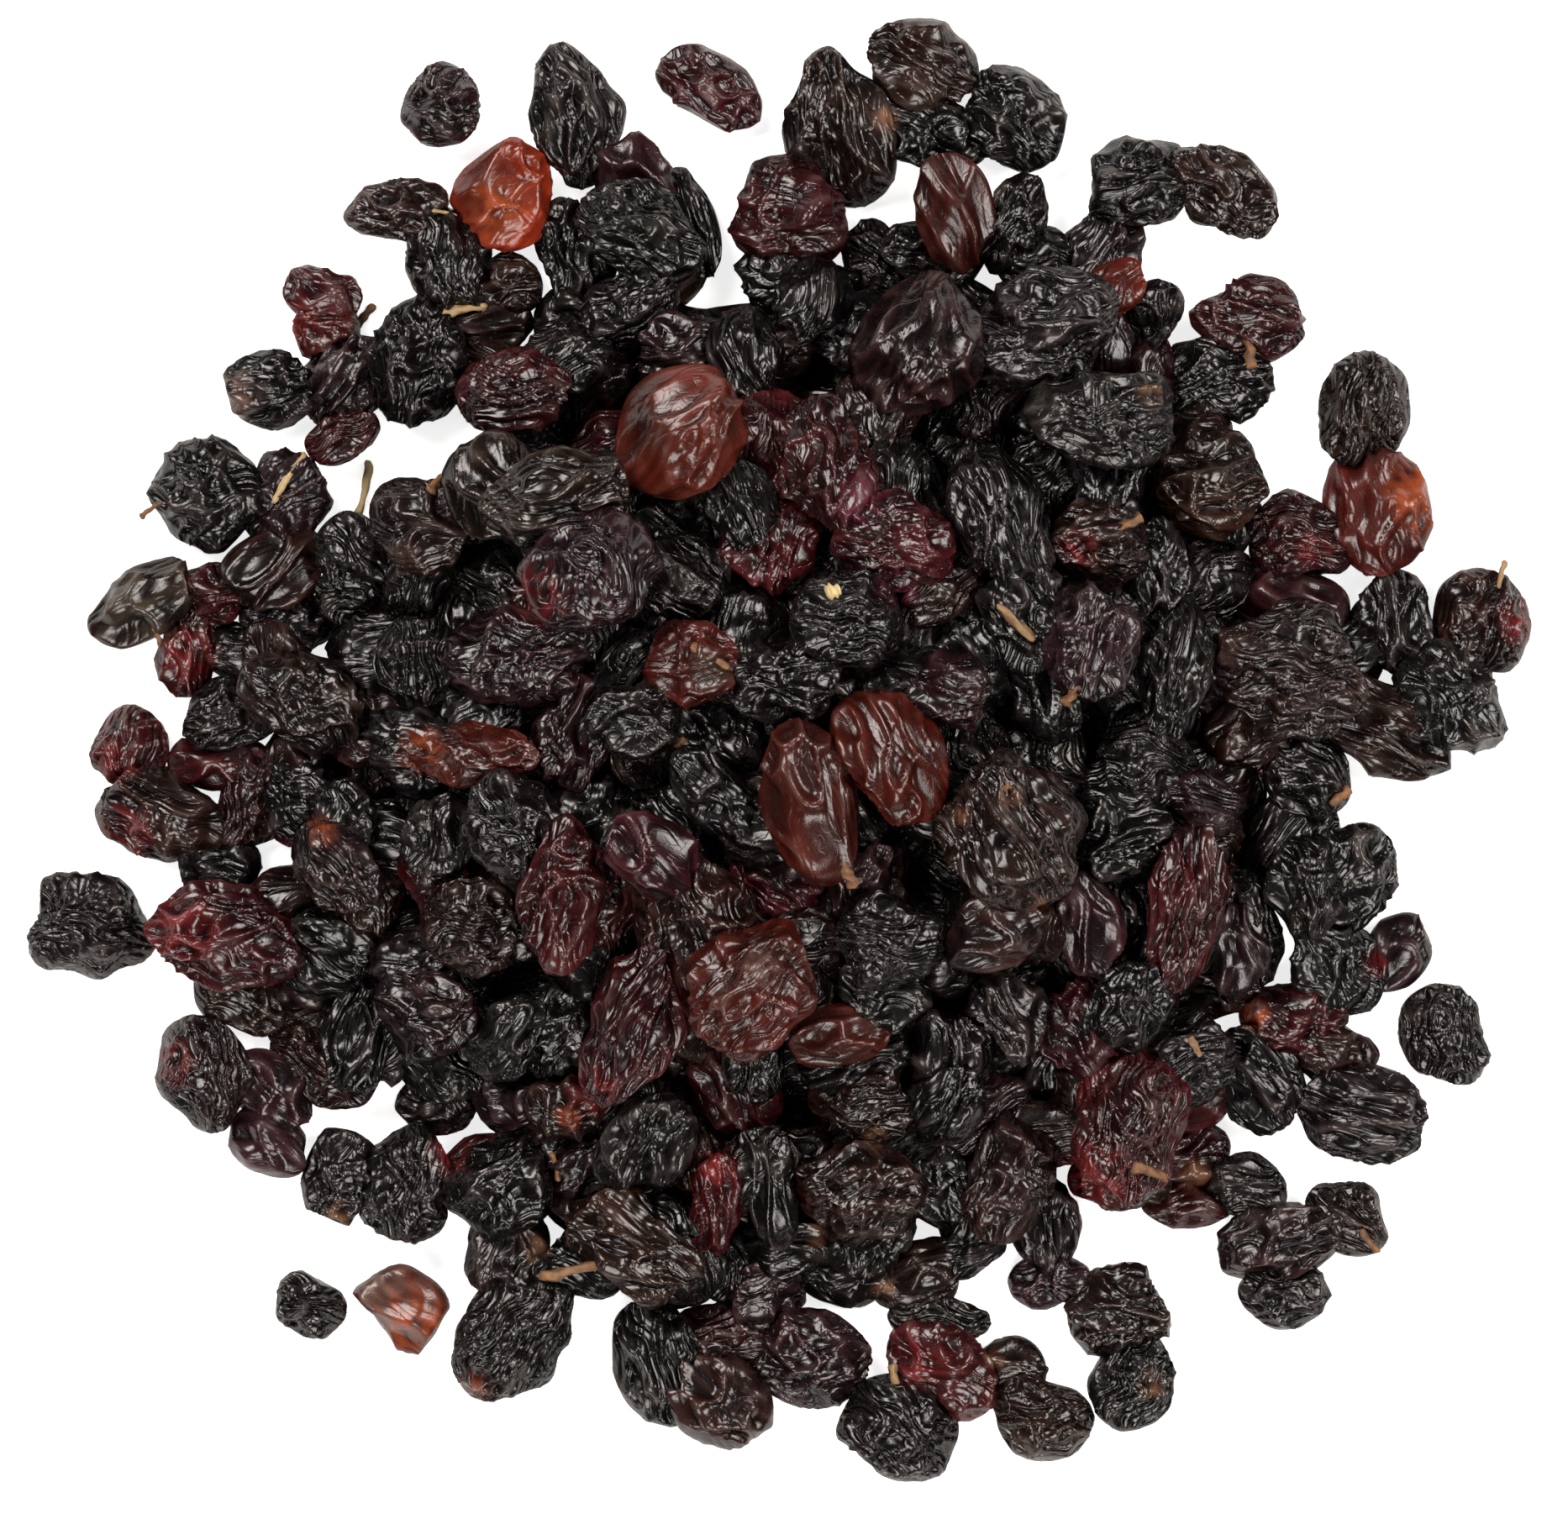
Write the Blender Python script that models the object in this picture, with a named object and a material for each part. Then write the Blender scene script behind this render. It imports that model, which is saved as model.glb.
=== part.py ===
# Heap of dried Zante currants lying loose on a flat surface.
# The heap is one solid: a low core with the currants that show fused on, each a few-sided
# ellipsoid. Six currants that lie just clear of the others are solids of their own.
# Lengths are written in millimetres and turned into metres by MM.

import math
import random

import bmesh
import bpy
import numpy as np
from mathutils import Matrix

MM = 0.001

# Driving dimensions of the heap, mm. SINK values are how deep a currant settles between the
# ones under it, and SWELL makes up for the roundness that few sides cut off, by side count.
SEED = 11
CORE_RADIUS = 34.0
CORE_EDGE = 38.5
CORE_HEIGHT = 7.0
MOUND_RADIUS = 48.0
MOUND_HEIGHT = 13.0
SHOULDER = (32.0, 46.5)
SHOULDER_COUNT = 88
CROWN = (0.0, 40.0)
CROWN_COUNT = 150
HOLD_RADIUS = 39.0
RIM_SINK = 4.5
SHOULDER_SINK = 1.5
CROWN_SINK = 1.2
TOP_SINK = 1.7
PRESS = 1.3
COVER = 2.2
INNER_AREA = 20.0
OUTER_AREA = 6.0
SMALL_HALF = 4.3
SWELL = {4: 1.4, 5: 1.3, 8: 1.1}
GRID = 0.5
REACH = 66.0
FLATNESS = 0.68

# Currants that make the outline: x, y, length, width (mm), turn of the long axis (degrees)
RIM = [
    (0.2, 37.4, 9.6, 6.2, -5), (-10.0, 38.6, 7.6, 6.0, 30), (7.4, 40.6, 6.2, 5.2, -30),
    (19.5, 43.6, 6.6, 6.2, 0), (24.0, 40.4, 5.4, 4.8, 0), (32.3, 34.5, 6.8, 5.4, 75),
    (31.0, 41.3, 7.8, 6.4, 60), (38.3, 30.2, 9.0, 7.0, 0), (41.3, 20.6, 7.8, 7.2, 0),
    (43.6, 13.0, 9.0, 6.6, -20), (46.4, 5.4, 7.0, 5.8, 30), (48.3, -12.0, 8.5, 6.8, -60),
    (43.3, -17.2, 8.0, 6.0, -5), (39.0, -25.4, 8.6, 7.4, -50), (39.6, -34.1, 6.0, 5.0, 0),
    (31.6, -37.2, 7.6, 5.8, 0), (23.5, -42.2, 9.0, 5.5, -80), (13.0, -42.5, 6.4, 4.6, 0),
    (4.5, -42.0, 8.5, 6.0, 0), (-5.4, -41.6, 6.0, 5.0, 90), (-1.5, -43.0, 6.2, 6.0, 0),
    (-22.0, -40.0, 9.6, 5.6, 78), (-24.2, -33.0, 8.0, 5.4, 25), (-27.8, -27.8, 6.0, 4.8, 0),
    (-36.6, -26.2, 8.0, 5.6, -25), (-39.0, -22.0, 7.0, 4.2, 0), (-38.4, -18.2, 7.5, 4.8, 15),
    (-43.5, -4.2, 8.2, 5.2, 80), (-39.5, -4.0, 6.4, 4.6, 90), (-46.8, 2.1, 7.4, 4.6, 0),
    (-45.9, 7.1, 6.0, 5.0, 0), (-41.8, 11.2, 7.2, 4.6, 0), (-41.5, 16.4, 8.2, 6.4, 35),
    (-39.8, 23.0, 7.6, 6.6, 40), (-35.5, 30.0, 8.0, 6.2, 60), (-29.5, 31.0, 10.0, 7.6, 80),
    (-24.0, 34.4, 6.8, 4.6, 0), (-22.3, 38.0, 5.2, 4.6, 0), (-16.8, 34.0, 7.5, 6.6, 0),
    (-17.0, 41.3, 8.2, 6.2, 90), (-28.5, 40.2, 7.2, 7.0, 90), (-11.8, 45.5, 8.4, 6.2, -62),
    (-7.0, 43.9, 9.4, 3.8, -72), (0.2, 44.3, 8.4, 8.2, 0), (-22.2, 45.3, 8.8, 7.6, 40),
    (-18.0, 52.0, 10.2, 6.8, -75), (-33.0, 45.4, 7.8, 5.6, -12), (-37.2, 38.0, 6.0, 4.2, -15),
    (-37.6, 34.6, 5.4, 4.4, 0), (-43.1, 28.8, 7.0, 6.0, 0), (-46.9, 20.9, 8.6, 8.2, 0),
    (-48.0, 12.6, 5.4, 5.0, 0), (-54.0, 11.8, 9.0, 5.4, 32), (-49.2, 8.0, 6.2, 4.8, 90),
    (-53.5, 2.4, 6.6, 5.8, 80), (-51.4, -4.1, 10.0, 6.8, -15), (-46.5, -10.0, 6.4, 5.2, 0),
    (-47.2, -18.0, 7.2, 5.0, -35), (-46.6, -25.2, 8.6, 7.0, -75), (-42.2, -27.5, 7.6, 5.0, -40),
    (-41.6, -31.8, 6.4, 4.8, -30), (-37.8, -33.5, 7.2, 5.6, 80), (-31.4, -34.4, 9.0, 7.8, 90),
    (-21.6, -48.8, 12.0, 8.0, 50), (-11.2, -42.8, 6.8, 4.2, 5), (-13.6, -49.6, 10.0, 6.6, -75),
    (-5.8, -47.4, 8.0, 5.2, 0), (-5.6, -51.4, 9.0, 7.0, -50), (2.8, -48.4, 9.0, 7.2, 0),
    (7.7, -55.4, 8.4, 8.0, -45), (12.4, -51.2, 8.8, 6.2, -25), (13.4, -46.8, 7.6, 4.0, -10),
    (21.1, -45.4, 5.8, 4.4, 0), (20.2, -49.4, 5.4, 5.2, 0), (21.1, -54.2, 7.3, 5.8, -15),
    (28.5, -45.6, 9.0, 7.2, -10), (28.3, -52.2, 7.2, 6.4, 60), (32.5, -40.6, 6.6, 4.0, 0),
    (39.4, -39.0, 9.0, 6.4, 15), (40.2, -43.6, 6.6, 5.0, -5), (46.9, -31.1, 10.6, 7.4, -15),
    (45.4, -36.4, 6.8, 5.2, -40), (43.6, -23.7, 6.4, 5.2, -20), (51.6, -14.9, 6.2, 4.8, 60),
    (51.2, -4.0, 12.0, 7.2, -22), (53.2, 4.2, 8.6, 8.0, -45), (50.7, 12.0, 7.8, 6.2, 95),
    (57.0, 13.4, 8.2, 7.2, 70), (49.3, 20.6, 9.8, 8.0, 100), (45.5, 29.2, 8.4, 7.4, 75),
    (38.6, 37.3, 8.2, 6.4, 0), (37.0, 45.0, 9.4, 6.2, -42), (28.5, 47.8, 8.5, 7.2, 10),
    (20.5, 51.2, 8.0, 7.2, -40), (13.3, 50.0, 9.6, 5.8, -15), (4.3, 50.2, 11.6, 7.6, -80),
    (10.8, 56.0, 9.0, 6.4, -25), (34.7, -29.9, 7.4, 6.8, 0), (-23.8, 30.0, 7.4, 6.0, 130),
]

# Large currants that lie on top, in the same terms
TOP = [
    (13.4, 43.2, 9.2, 6.0, -75), (25.8, 37.1, 5.8, 4.2, 35), (-21.5, 28.8, 9.2, 6.4, -15),
    (-38.6, 4.3, 10.0, 7.0, -38), (-28.6, 18.4, 8.0, 7.4, 0), (-23.4, 21.2, 8.2, 7.4, 90),
    (-8.4, 14.3, 7.4, 6.8, -45), (-3.8, 19.8, 7.4, 5.8, -70), (-12.0, 3.2, 7.6, 6.0, 0),
    (8.2, 16.6, 8.2, 7.8, 0), (24.0, 9.2, 8.4, 7.4, 80), (13.2, 5.0, 6.6, 6.0, 0),
    (25.0, 16.7, 8.0, 7.2, 0), (33.3, 21.4, 8.8, 7.6, 0), (-24.8, 0.2, 10.0, 4.6, -5),
    (-27.6, -6.6, 6.6, 5.6, 75), (-25.2, -13.6, 8.4, 7.4, 0), (-10.4, -8.2, 8.6, 6.0, -40),
    (-6.0, -2.6, 8.0, 5.0, -50), (-35.8, -9.2, 9.0, 6.4, -50), (-28.6, -20.4, 7.8, 6.4, -15),
    (-22.0, -22.6, 7.4, 5.2, 50), (-17.5, -28.2, 6.2, 5.4, 0), (-11.2, -31.0, 8.5, 7.0, 75),
    (-5.7, -35.7, 8.6, 4.2, 80), (-1.6, -35.0, 8.6, 4.0, -80), (6.7, -28.2, 6.4, 5.6, 0),
    (12.4, -27.8, 7.4, 5.0, 60), (17.6, -33.6, 8.6, 7.4, 75), (3.8, -22.3, 7.8, 4.8, 10),
    (8.0, -14.8, 8.2, 7.4, 0), (16.5, -13.8, 8.5, 6.0, 20), (17.8, -21.0, 8.0, 5.5, -60),
    (26.9, -19.9, 7.4, 6.4, 60), (23.9, -13.5, 8.0, 5.4, -70), (35.9, -15.6, 7.4, 4.6, 90),
    (41.4, -10.6, 7.8, 6.0, -80), (26.5, -6.3, 8.0, 7.4, 0),
    (20.4, 33.6, 10.8, 9.8, 0), (25.3, 26.8, 11.6, 7.9, 5), (10.2, 32.4, 11.5, 10.0, 70),
    (-17.8, 20.4, 11.4, 7.2, 8), (-15.4, 14.5, 10.4, 8.8, 0), (-21.3, 7.6, 10.2, 7.8, -5),
    (-7.3, 7.1, 6.8, 6.4, 0), (-0.2, 5.7, 8.4, 7.6, 0), (5.0, 11.0, 8.0, 7.6, 0),
    (2.7, 22.9, 10.0, 7.6, -75), (16.8, 18.5, 10.8, 7.8, -78), (30.8, 6.9, 10.2, 6.2, 78),
    (39.9, 6.6, 11.4, 10.6, 0), (8.1, 0.1, 11.2, 8.0, -68), (1.7, -3.6, 12.4, 7.2, -75),
    (17.4, -6.4, 11.5, 10.6, -60), (31.7, -11.7, 12.6, 6.4, 78), (27.2, -29.3, 11.6, 8.6, 80),
    (-44.6, -14.2, 11.6, 8.0, -8), (-21.8, -5.6, 8.4, 6.8, -45), (-17.8, -11.0, 11.4, 6.8, 75),
    (-12.1, -21.2, 13.0, 7.0, 65), (-2.6, -18.3, 10.0, 9.4, 45), (5.4, -34.6, 10.0, 8.6, 15),
    (-12.5, -38.4, 11.0, 7.4, -35), (-8.2, 25.6, 10.8, 10.2, 20),
]

# Bare spots among the outer currants: x, y, radius
GAPS = [
    (5.0, 43.6, 2.6), (-5.2, 38.6, 2.0), (-20.6, 34.6, 1.8), (-22.5, 41.4, 1.8),
    (-26.6, 25.6, 2.6), (-32.4, 22.0, 2.0), (-37.8, 18.8, 2.0), (-36.3, 8.0, 1.4),
    (30.0, 31.0, 2.0), (41.8, 25.2, 2.4), (-48.0, -0.8, 1.6), (-42.0, -7.4, 1.8),
    (-42.6, -20.7, 1.6), (-32.0, -28.0, 3.0), (-25.5, -29.8, 2.2), (39.6, -30.6, 1.8),
    (36.2, -36.2, 2.2), (28.2, -40.4, 2.2), (9.0, -43.8, 2.2), (17.2, -46.0, 2.6),
    (-36.8, -30.0, 1.4), (-27.0, -38.6, 2.4), (-8.2, -44.6, 1.6), (47.0, -19.6, 2.4),
]

# Currants that lie clear of the heap: name, then the same terms
LOOSE = [
    ("loose_brown", (-27.8, 52.1, 7.0, 6.8, 0)),
    ("loose_red", (-6.2, 53.2, 9.4, 5.6, -32)),
    ("loose_olive_black", (-56.0, -13.6, 10.0, 8.8, -15)),
    ("loose_small_black", (-38.2, -44.1, 6.0, 5.6, 0)),
    ("loose_tan", (-31.0, -44.3, 8.0, 7.0, -35)),
    ("loose_round_black", (52.6, -22.2, 8.0, 7.2, 90)),
]


def mound(x, y, height, radius):
    """Dome that is highest at the centre and meets the floor at the radius."""
    return height * np.maximum(0.0, 1.0 - (x * x + y * y) / (radius * radius))


def resting_axes(x, y, turn, rng):
    """Long, wide and thick axes of a currant that lies along the mound's slope."""
    lean = 2.0 * MOUND_HEIGHT / (MOUND_RADIUS * MOUND_RADIUS)
    if math.hypot(x, y) > CORE_RADIUS + 3.0:
        lean = 0.0
    thick = np.array([lean * x + rng.gauss(0.0, 0.12), lean * y + rng.gauss(0.0, 0.12), 1.0])
    thick /= np.linalg.norm(thick)
    along = np.array([math.cos(math.radians(turn)), math.sin(math.radians(turn)), 0.0])
    along -= thick * along.dot(thick)
    along /= np.linalg.norm(along)
    return np.array([along, np.cross(thick, along), thick])


def shell(x, y, axes, halves, east, north):
    """Cells under an ellipsoid at x, y, with its lower and upper surface about its centre."""
    quad = sum(np.outer(axis, axis) / (half * half) for axis, half in zip(axes, halves))
    right = east - x
    up = north - y
    slant = 2.0 * (quad[0, 2] * right + quad[1, 2] * up)
    rest = quad[0, 0] * right * right + 2.0 * quad[0, 1] * right * up + quad[1, 1] * up * up - 1.0
    inside = slant * slant - 4.0 * quad[2, 2] * rest
    covered = inside > 0.0
    root = np.sqrt(np.where(covered, inside, 0.0))
    return covered, (-slant - root) / (2.0 * quad[2, 2]), (-slant + root) / (2.0 * quad[2, 2])


def reach(row, heading):
    """Half the breadth of a currant's outline along a heading."""
    bearing = heading - math.radians(row[4])
    return row[2] * row[3] / 2.0 / math.hypot(row[3] * math.cos(bearing), row[2] * math.sin(bearing))


class Pile:
    """Height field of the heap, on which each new currant comes to rest."""

    def __init__(self):
        line = np.arange(-REACH, REACH + GRID, GRID)
        self.east, self.north = np.meshgrid(line, line)
        self.height = mound(self.east, self.north, CORE_HEIGHT, CORE_RADIUS)
        self.owner = np.full(self.height.shape, -1)
        self.currants = []
        self.rows = [(0.0, 0.0, 2.0 * HOLD_RADIUS, 2.0 * HOLD_RADIUS, 0.0)]

    def window(self, x, y, margin):
        """Slices of the grid within a margin of a place."""
        first = np.array([y, x]) + REACH - margin
        last = np.array([y, x]) + REACH + margin
        rows, columns = [slice(max(0, int(a / GRID)), int(b / GRID) + 2) for a, b in zip(first, last)]
        return rows, columns

    def landing(self, x, y, axes, halves, sink):
        """Height of the centre of a currant dropped at x, y, and what it covers."""
        part = self.window(x, y, halves[0])
        covered, low, high = shell(x, y, axes, halves, self.east[part], self.north[part])
        centre = (self.height[part] - low)[covered].max() - sink
        return max(centre, 0.05 - low[covered].min()), part, covered, high

    def add(self, x, y, axes, halves, sink):
        """Drop a currant and raise the height field by it."""
        centre, part, covered, high = self.landing(x, y, axes, halves, sink)
        raised = covered & (centre + high > self.height[part])
        self.height[part][raised] = (centre + high)[raised]
        self.owner[part][raised] = len(self.currants)
        self.currants.append((np.array([x, y, centre]), axes, halves))

    def pressed(self, row):
        """Row slid, if need be, until it presses against the heap or a placed currant."""
        x, y, length, width, turn = row
        nearest = None
        for other in self.rows:
            heading = math.atan2(other[1] - y, other[0] - x)
            free = math.hypot(other[0] - x, other[1] - y) - reach(row, heading) - reach(other, heading)
            if nearest is None or free < nearest:
                nearest, inward = free, heading
        slide = max(0.0, nearest + PRESS)
        return (x + slide * math.cos(inward), y + slide * math.sin(inward), length, width, turn)

    def add_row(self, row, sink, rng):
        """Drop a currant given as x, y, length, width and turn."""
        row = self.pressed(row)
        self.rows.append(row)
        x, y, length, width, turn = row
        thick = FLATNESS * width * rng.uniform(0.9, 1.15)
        self.add(x, y, resting_axes(x, y, turn, rng), (length / 2, width / 2, thick / 2), sink)

    def add_filler(self, ring, share, sink, rng):
        """Drop a currant of drawn size where a ring of the heap is lowest under its mound."""
        length = min(10.0, max(5.2, rng.gauss(7.2, 1.1)))
        width = length * rng.uniform(0.68, 0.95)
        halves = (length / 2, width / 2, FLATNESS * width * rng.uniform(0.9, 1.15) / 2)
        best = None
        for _ in range(26):
            distance = math.sqrt(rng.uniform(ring[0] ** 2, ring[1] ** 2))
            angle = rng.uniform(0.0, 2.0 * math.pi)
            row = (distance * math.cos(angle), distance * math.sin(angle), length, width,
                   rng.uniform(0.0, 180.0))
            x, y = self.pressed(row)[:2]
            axes = resting_axes(x, y, row[4], rng)
            if any(math.hypot(x - gx, y - gy) < radius + 0.36 * width for gx, gy, radius in GAPS):
                continue
            if any(math.hypot(x - top[0], y - top[1]) < 0.36 * top[3] for top in TOP):
                continue
            level = self.landing(x, y, axes, halves, sink)[0]
            level -= share * mound(x, y, MOUND_HEIGHT, MOUND_RADIUS)
            if best is None or level < best[0]:
                best = (level, x, y, row[4], axes)
        _, x, y, turn, axes = best
        self.rows.append((x, y, length, width, turn))
        self.add(x, y, axes, halves, sink)

    def shown(self):
        """Currants with enough of them in view from above, and all of the outer ones."""
        seen = np.bincount(self.owner[self.owner >= 0], minlength=len(self.currants)) * GRID * GRID
        return [currant for currant, area in zip(self.currants, seen)
                if area > (INNER_AREA if np.hypot(*currant[0][:2]) < CORE_RADIUS else OUTER_AREA)]

    def cover_depth(self, x, y):
        """Height of the core at a place: the heap's top, evened out, less a currant's depth."""
        near = (self.east - x) ** 2 + (self.north - y) ** 2 < 5.0 ** 2
        return self.height[near].mean() - COVER


def settled_pile():
    """Outline currants first, then the drawn ones, then the large ones on top."""
    rng = random.Random(SEED)
    pile = Pile()
    for row in sorted(RIM, key=lambda place: math.hypot(place[0], place[1])):
        pile.add_row(row, RIM_SINK, rng)
    for _ in range(SHOULDER_COUNT):
        pile.add_filler(SHOULDER, 0.3, SHOULDER_SINK, rng)
    for _ in range(CROWN_COUNT):
        pile.add_filler(CROWN, 1.0, CROWN_SINK, rng)
    for row in TOP:
        pile.add_row(row, TOP_SINK, rng)
    return pile


def skin(name, colour, roughness):
    """Plain material of a currant."""
    material = bpy.data.materials.new(name)
    material.use_nodes = True
    shader = material.node_tree.nodes["Principled BSDF"]
    shader.inputs["Base Color"].default_value = (*colour, 1.0)
    shader.inputs["Roughness"].default_value = roughness
    return material


def mesh_object(name, mesh_builder, collection, material=None):
    """Object from a bmesh."""
    mesh = bpy.data.meshes.new(name)
    mesh_builder.to_mesh(mesh)
    mesh_builder.free()
    result = bpy.data.objects.new(name, mesh)
    collection.objects.link(result)
    if material:
        mesh.materials.append(material)
    return result


def currant_solid(centre, axes, halves, rng, sides, rings, swell):
    """Few-sided ellipsoid with its poles on the long axis and a slightly uneven surface."""
    solid = bmesh.new()
    bmesh.ops.create_uvsphere(solid, u_segments=sides, v_segments=rings, radius=1.0)
    for vertex in solid.verts:
        vertex.co *= rng.uniform(0.94, 1.05)
    frame = Matrix([[axes[1][k], axes[2][k], axes[0][k]] for k in range(3)]).to_4x4()
    size = Matrix.Diagonal((swell * halves[1] * MM, swell * halves[2] * MM, halves[0] * MM, 1.0))
    solid.transform(Matrix.Translation([value * MM for value in centre]) @ frame @ size)
    for vertex in solid.verts:
        vertex.co.z = max(vertex.co.z, 0.00005)
    bmesh.ops.triangulate(solid, faces=solid.faces)
    return solid


def core_edge(angle):
    """Radius of the core's edge, drawn in where a bare spot would show it."""
    radius = CORE_EDGE
    for x, y, gap in GAPS:
        distance = math.hypot(x, y)
        aside = math.atan2(y, x) - angle
        if math.cos(aside) > 0.0 and abs(distance * math.sin(aside)) < gap + 2.0:
            radius = min(radius, distance - gap - 0.6)
    return radius


def core_solid(pile):
    """Mound under the currants, with a flat underside and an uneven edge."""
    sides = 36
    solid = bmesh.new()
    rings = []
    for share in (0.2, 0.4, 0.6, 0.8, 1.0):
        ring = []
        for k in range(sides):
            angle = 2.0 * math.pi * k / sides
            radius = share * core_edge(angle)
            x, y = radius * math.cos(angle), radius * math.sin(angle)
            z = max(1.4, pile.cover_depth(x, y)) if share < 1.0 else 1.4
            ring.append(solid.verts.new((x * MM, y * MM, z * MM)))
        rings.append(ring)
    foot = [solid.verts.new((vertex.co.x, vertex.co.y, 0.0)) for vertex in rings[-1]]
    peak = solid.verts.new((0.0, 0.0, pile.cover_depth(0.0, 0.0) * MM))
    for k in range(sides):
        n = (k + 1) % sides
        solid.faces.new((peak, rings[0][k], rings[0][n]))
        for inner, outer in zip(rings, rings[1:] + [foot]):
            solid.faces.new((inner[k], outer[k], outer[n], inner[n]))
    solid.faces.new(list(reversed(foot)))
    bmesh.ops.triangulate(solid, faces=solid.faces)
    return solid


def keep_largest_body(target):
    """Drop scraps and sealed hollows, which are shells apart from the main one."""
    solid = bmesh.new()
    solid.from_mesh(target.data)
    waiting = set(solid.faces)
    bodies = []
    while waiting:
        body = [waiting.pop()]
        for face in body:
            for edge in face.edges:
                for other in edge.link_faces:
                    if other in waiting:
                        waiting.remove(other)
                        body.append(other)
        bodies.append(body)
    bodies.sort(key=len)
    bmesh.ops.delete(solid, geom=[face for body in bodies[:-1] for face in body], context="FACES")
    loose_ends = [vertex for vertex in solid.verts if not vertex.link_faces]
    bmesh.ops.delete(solid, geom=loose_ends, context="VERTS")
    bmesh.ops.triangulate(solid, faces=solid.faces)
    solid.to_mesh(target.data)
    solid.free()


def build_heap(pile, home):
    """Fuse the currants that show onto the core by one union."""
    rng = random.Random(SEED + 1)
    heap = mesh_object("heap", core_solid(pile), home, skin("currant_skin", (0.032, 0.016, 0.016), 0.45))
    helpers = bpy.data.collections.new("currants_to_join")
    bpy.context.scene.collection.children.link(helpers)
    for centre, axes, halves in pile.shown():
        sides = 4 if halves[0] < SMALL_HALF else 5
        solid = currant_solid(centre, axes, halves, rng, sides, 3, SWELL[sides])
        helper = mesh_object("currant", solid, helpers)
        helper.hide_render = True
        helper.display_type = "WIRE"
    join = heap.modifiers.new("join", "BOOLEAN")
    join.operation = "UNION"
    join.operand_type = "COLLECTION"
    join.collection = helpers
    join.solver = "MANIFOLD"
    bpy.context.view_layer.objects.active = heap
    bpy.ops.object.modifier_apply(modifier=join.name)
    for helper in list(helpers.objects):
        bpy.data.objects.remove(helper)
    bpy.data.collections.remove(helpers)
    keep_largest_body(heap)
    return heap


def build_loose(home):
    """Currants that lie by themselves, each resting on a small flat."""
    rng = random.Random(SEED + 2)
    tones = {
        "loose_brown": (0.060, 0.032, 0.026),
        "loose_red": (0.170, 0.030, 0.020),
        "loose_olive_black": (0.022, 0.021, 0.018),
        "loose_small_black": (0.024, 0.020, 0.018),
        "loose_tan": (0.300, 0.120, 0.075),
        "loose_round_black": (0.022, 0.018, 0.017),
    }
    for name, row in LOOSE:
        x, y, length, width, turn = row
        thick = FLATNESS * width
        axes = resting_axes(x, y, turn, rng)
        centre = (x, y, 0.47 * thick)
        solid = currant_solid(centre, axes, (length / 2, width / 2, thick / 2), rng, 8, 6, SWELL[8])
        lowest = min(vertex.co.z for vertex in solid.verts)
        for vertex in solid.verts:
            vertex.co.z = vertex.co.z - lowest if vertex.co.z > lowest + 0.0004 else 0.0
        mesh_object(name, solid, home, skin(name + "_skin", tones[name], 0.45))


for old in list(bpy.data.objects):
    bpy.data.objects.remove(old)

food = bpy.data.collections.new("zante_currants")
bpy.context.scene.collection.children.link(food)
build_heap(settled_pile(), food)
build_loose(food)
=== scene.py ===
import math
import random

import bpy
import numpy as np
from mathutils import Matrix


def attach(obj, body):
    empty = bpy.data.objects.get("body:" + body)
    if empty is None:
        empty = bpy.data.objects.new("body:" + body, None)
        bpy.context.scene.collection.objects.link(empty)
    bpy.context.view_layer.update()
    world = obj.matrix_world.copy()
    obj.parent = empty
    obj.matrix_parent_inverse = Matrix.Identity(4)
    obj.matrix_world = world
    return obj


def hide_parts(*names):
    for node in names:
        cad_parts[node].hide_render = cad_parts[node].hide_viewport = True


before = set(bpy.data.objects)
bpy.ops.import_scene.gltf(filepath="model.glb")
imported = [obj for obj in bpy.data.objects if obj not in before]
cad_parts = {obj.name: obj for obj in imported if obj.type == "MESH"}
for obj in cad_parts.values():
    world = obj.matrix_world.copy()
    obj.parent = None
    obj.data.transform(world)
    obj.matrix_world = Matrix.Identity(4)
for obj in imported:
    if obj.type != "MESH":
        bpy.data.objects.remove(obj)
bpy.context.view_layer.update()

# The heap: about four hundred dried currants, each a small grape shrunk to a wrinkled skin round
# a little flesh, poured loose on a flat surface. Their places are the same as those of the packed
# solids: each row is x, y, length, width (mm), the long axis's turn (degrees), skin and folds.
SEED = 11

# Radius and height of the core and of the mound that the heap follows, mm
CORE_RADIUS = 34.0
CORE_HEIGHT = 7.0
MOUND_RADIUS = 48.0
MOUND_HEIGHT = 13.0

# Rings, from radius to radius, that drawn currants fill, how many they are, and the share of the
# mound's height that is taken off when the lowest place is looked for
SHOULDER = (32.0, 46.5)
SHOULDER_COUNT = 88
SHOULDER_SHARE = 0.3
CROWN = (0.0, 40.0)
CROWN_COUNT = 150
CROWN_SHARE = 1.0

# Currants slide inwards until they press this far into a neighbour, or into the heap's middle
PRESS = 1.3
HOLD_RADIUS = 39.0

# How far each group sinks in between the currants that it lands on
RIM_SINK = 4.5
SHOULDER_SINK = 1.5
CROWN_SINK = 1.2
TOP_SINK = 1.7

# Cell and half breadth of the height field
GRID = 0.5
REACH = 66.0

# Thickness of a currant over its width, and how much it varies
FLATNESS = 0.68
THICKNESS_SPREAD = (0.9, 1.15)

# Drawn currants: length with its spread and limits, and width over length
LENGTH = 7.2
LENGTH_SPREAD = 1.1
SHORTEST = 5.2
LONGEST = 10.0
WIDTH_SHARE = (0.68, 0.95)

# Places tried for each of them, and how much of its width keeps clear of bare spots
TRIES = 26
CLEARANCE = 0.36

# Spread of a resting currant's tilt, the ground beyond the core's radius on which they lie level,
# and the least lift over the floor
TILT = 0.12
LEVEL_FROM = 3.0
LIFT = 0.05

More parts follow.
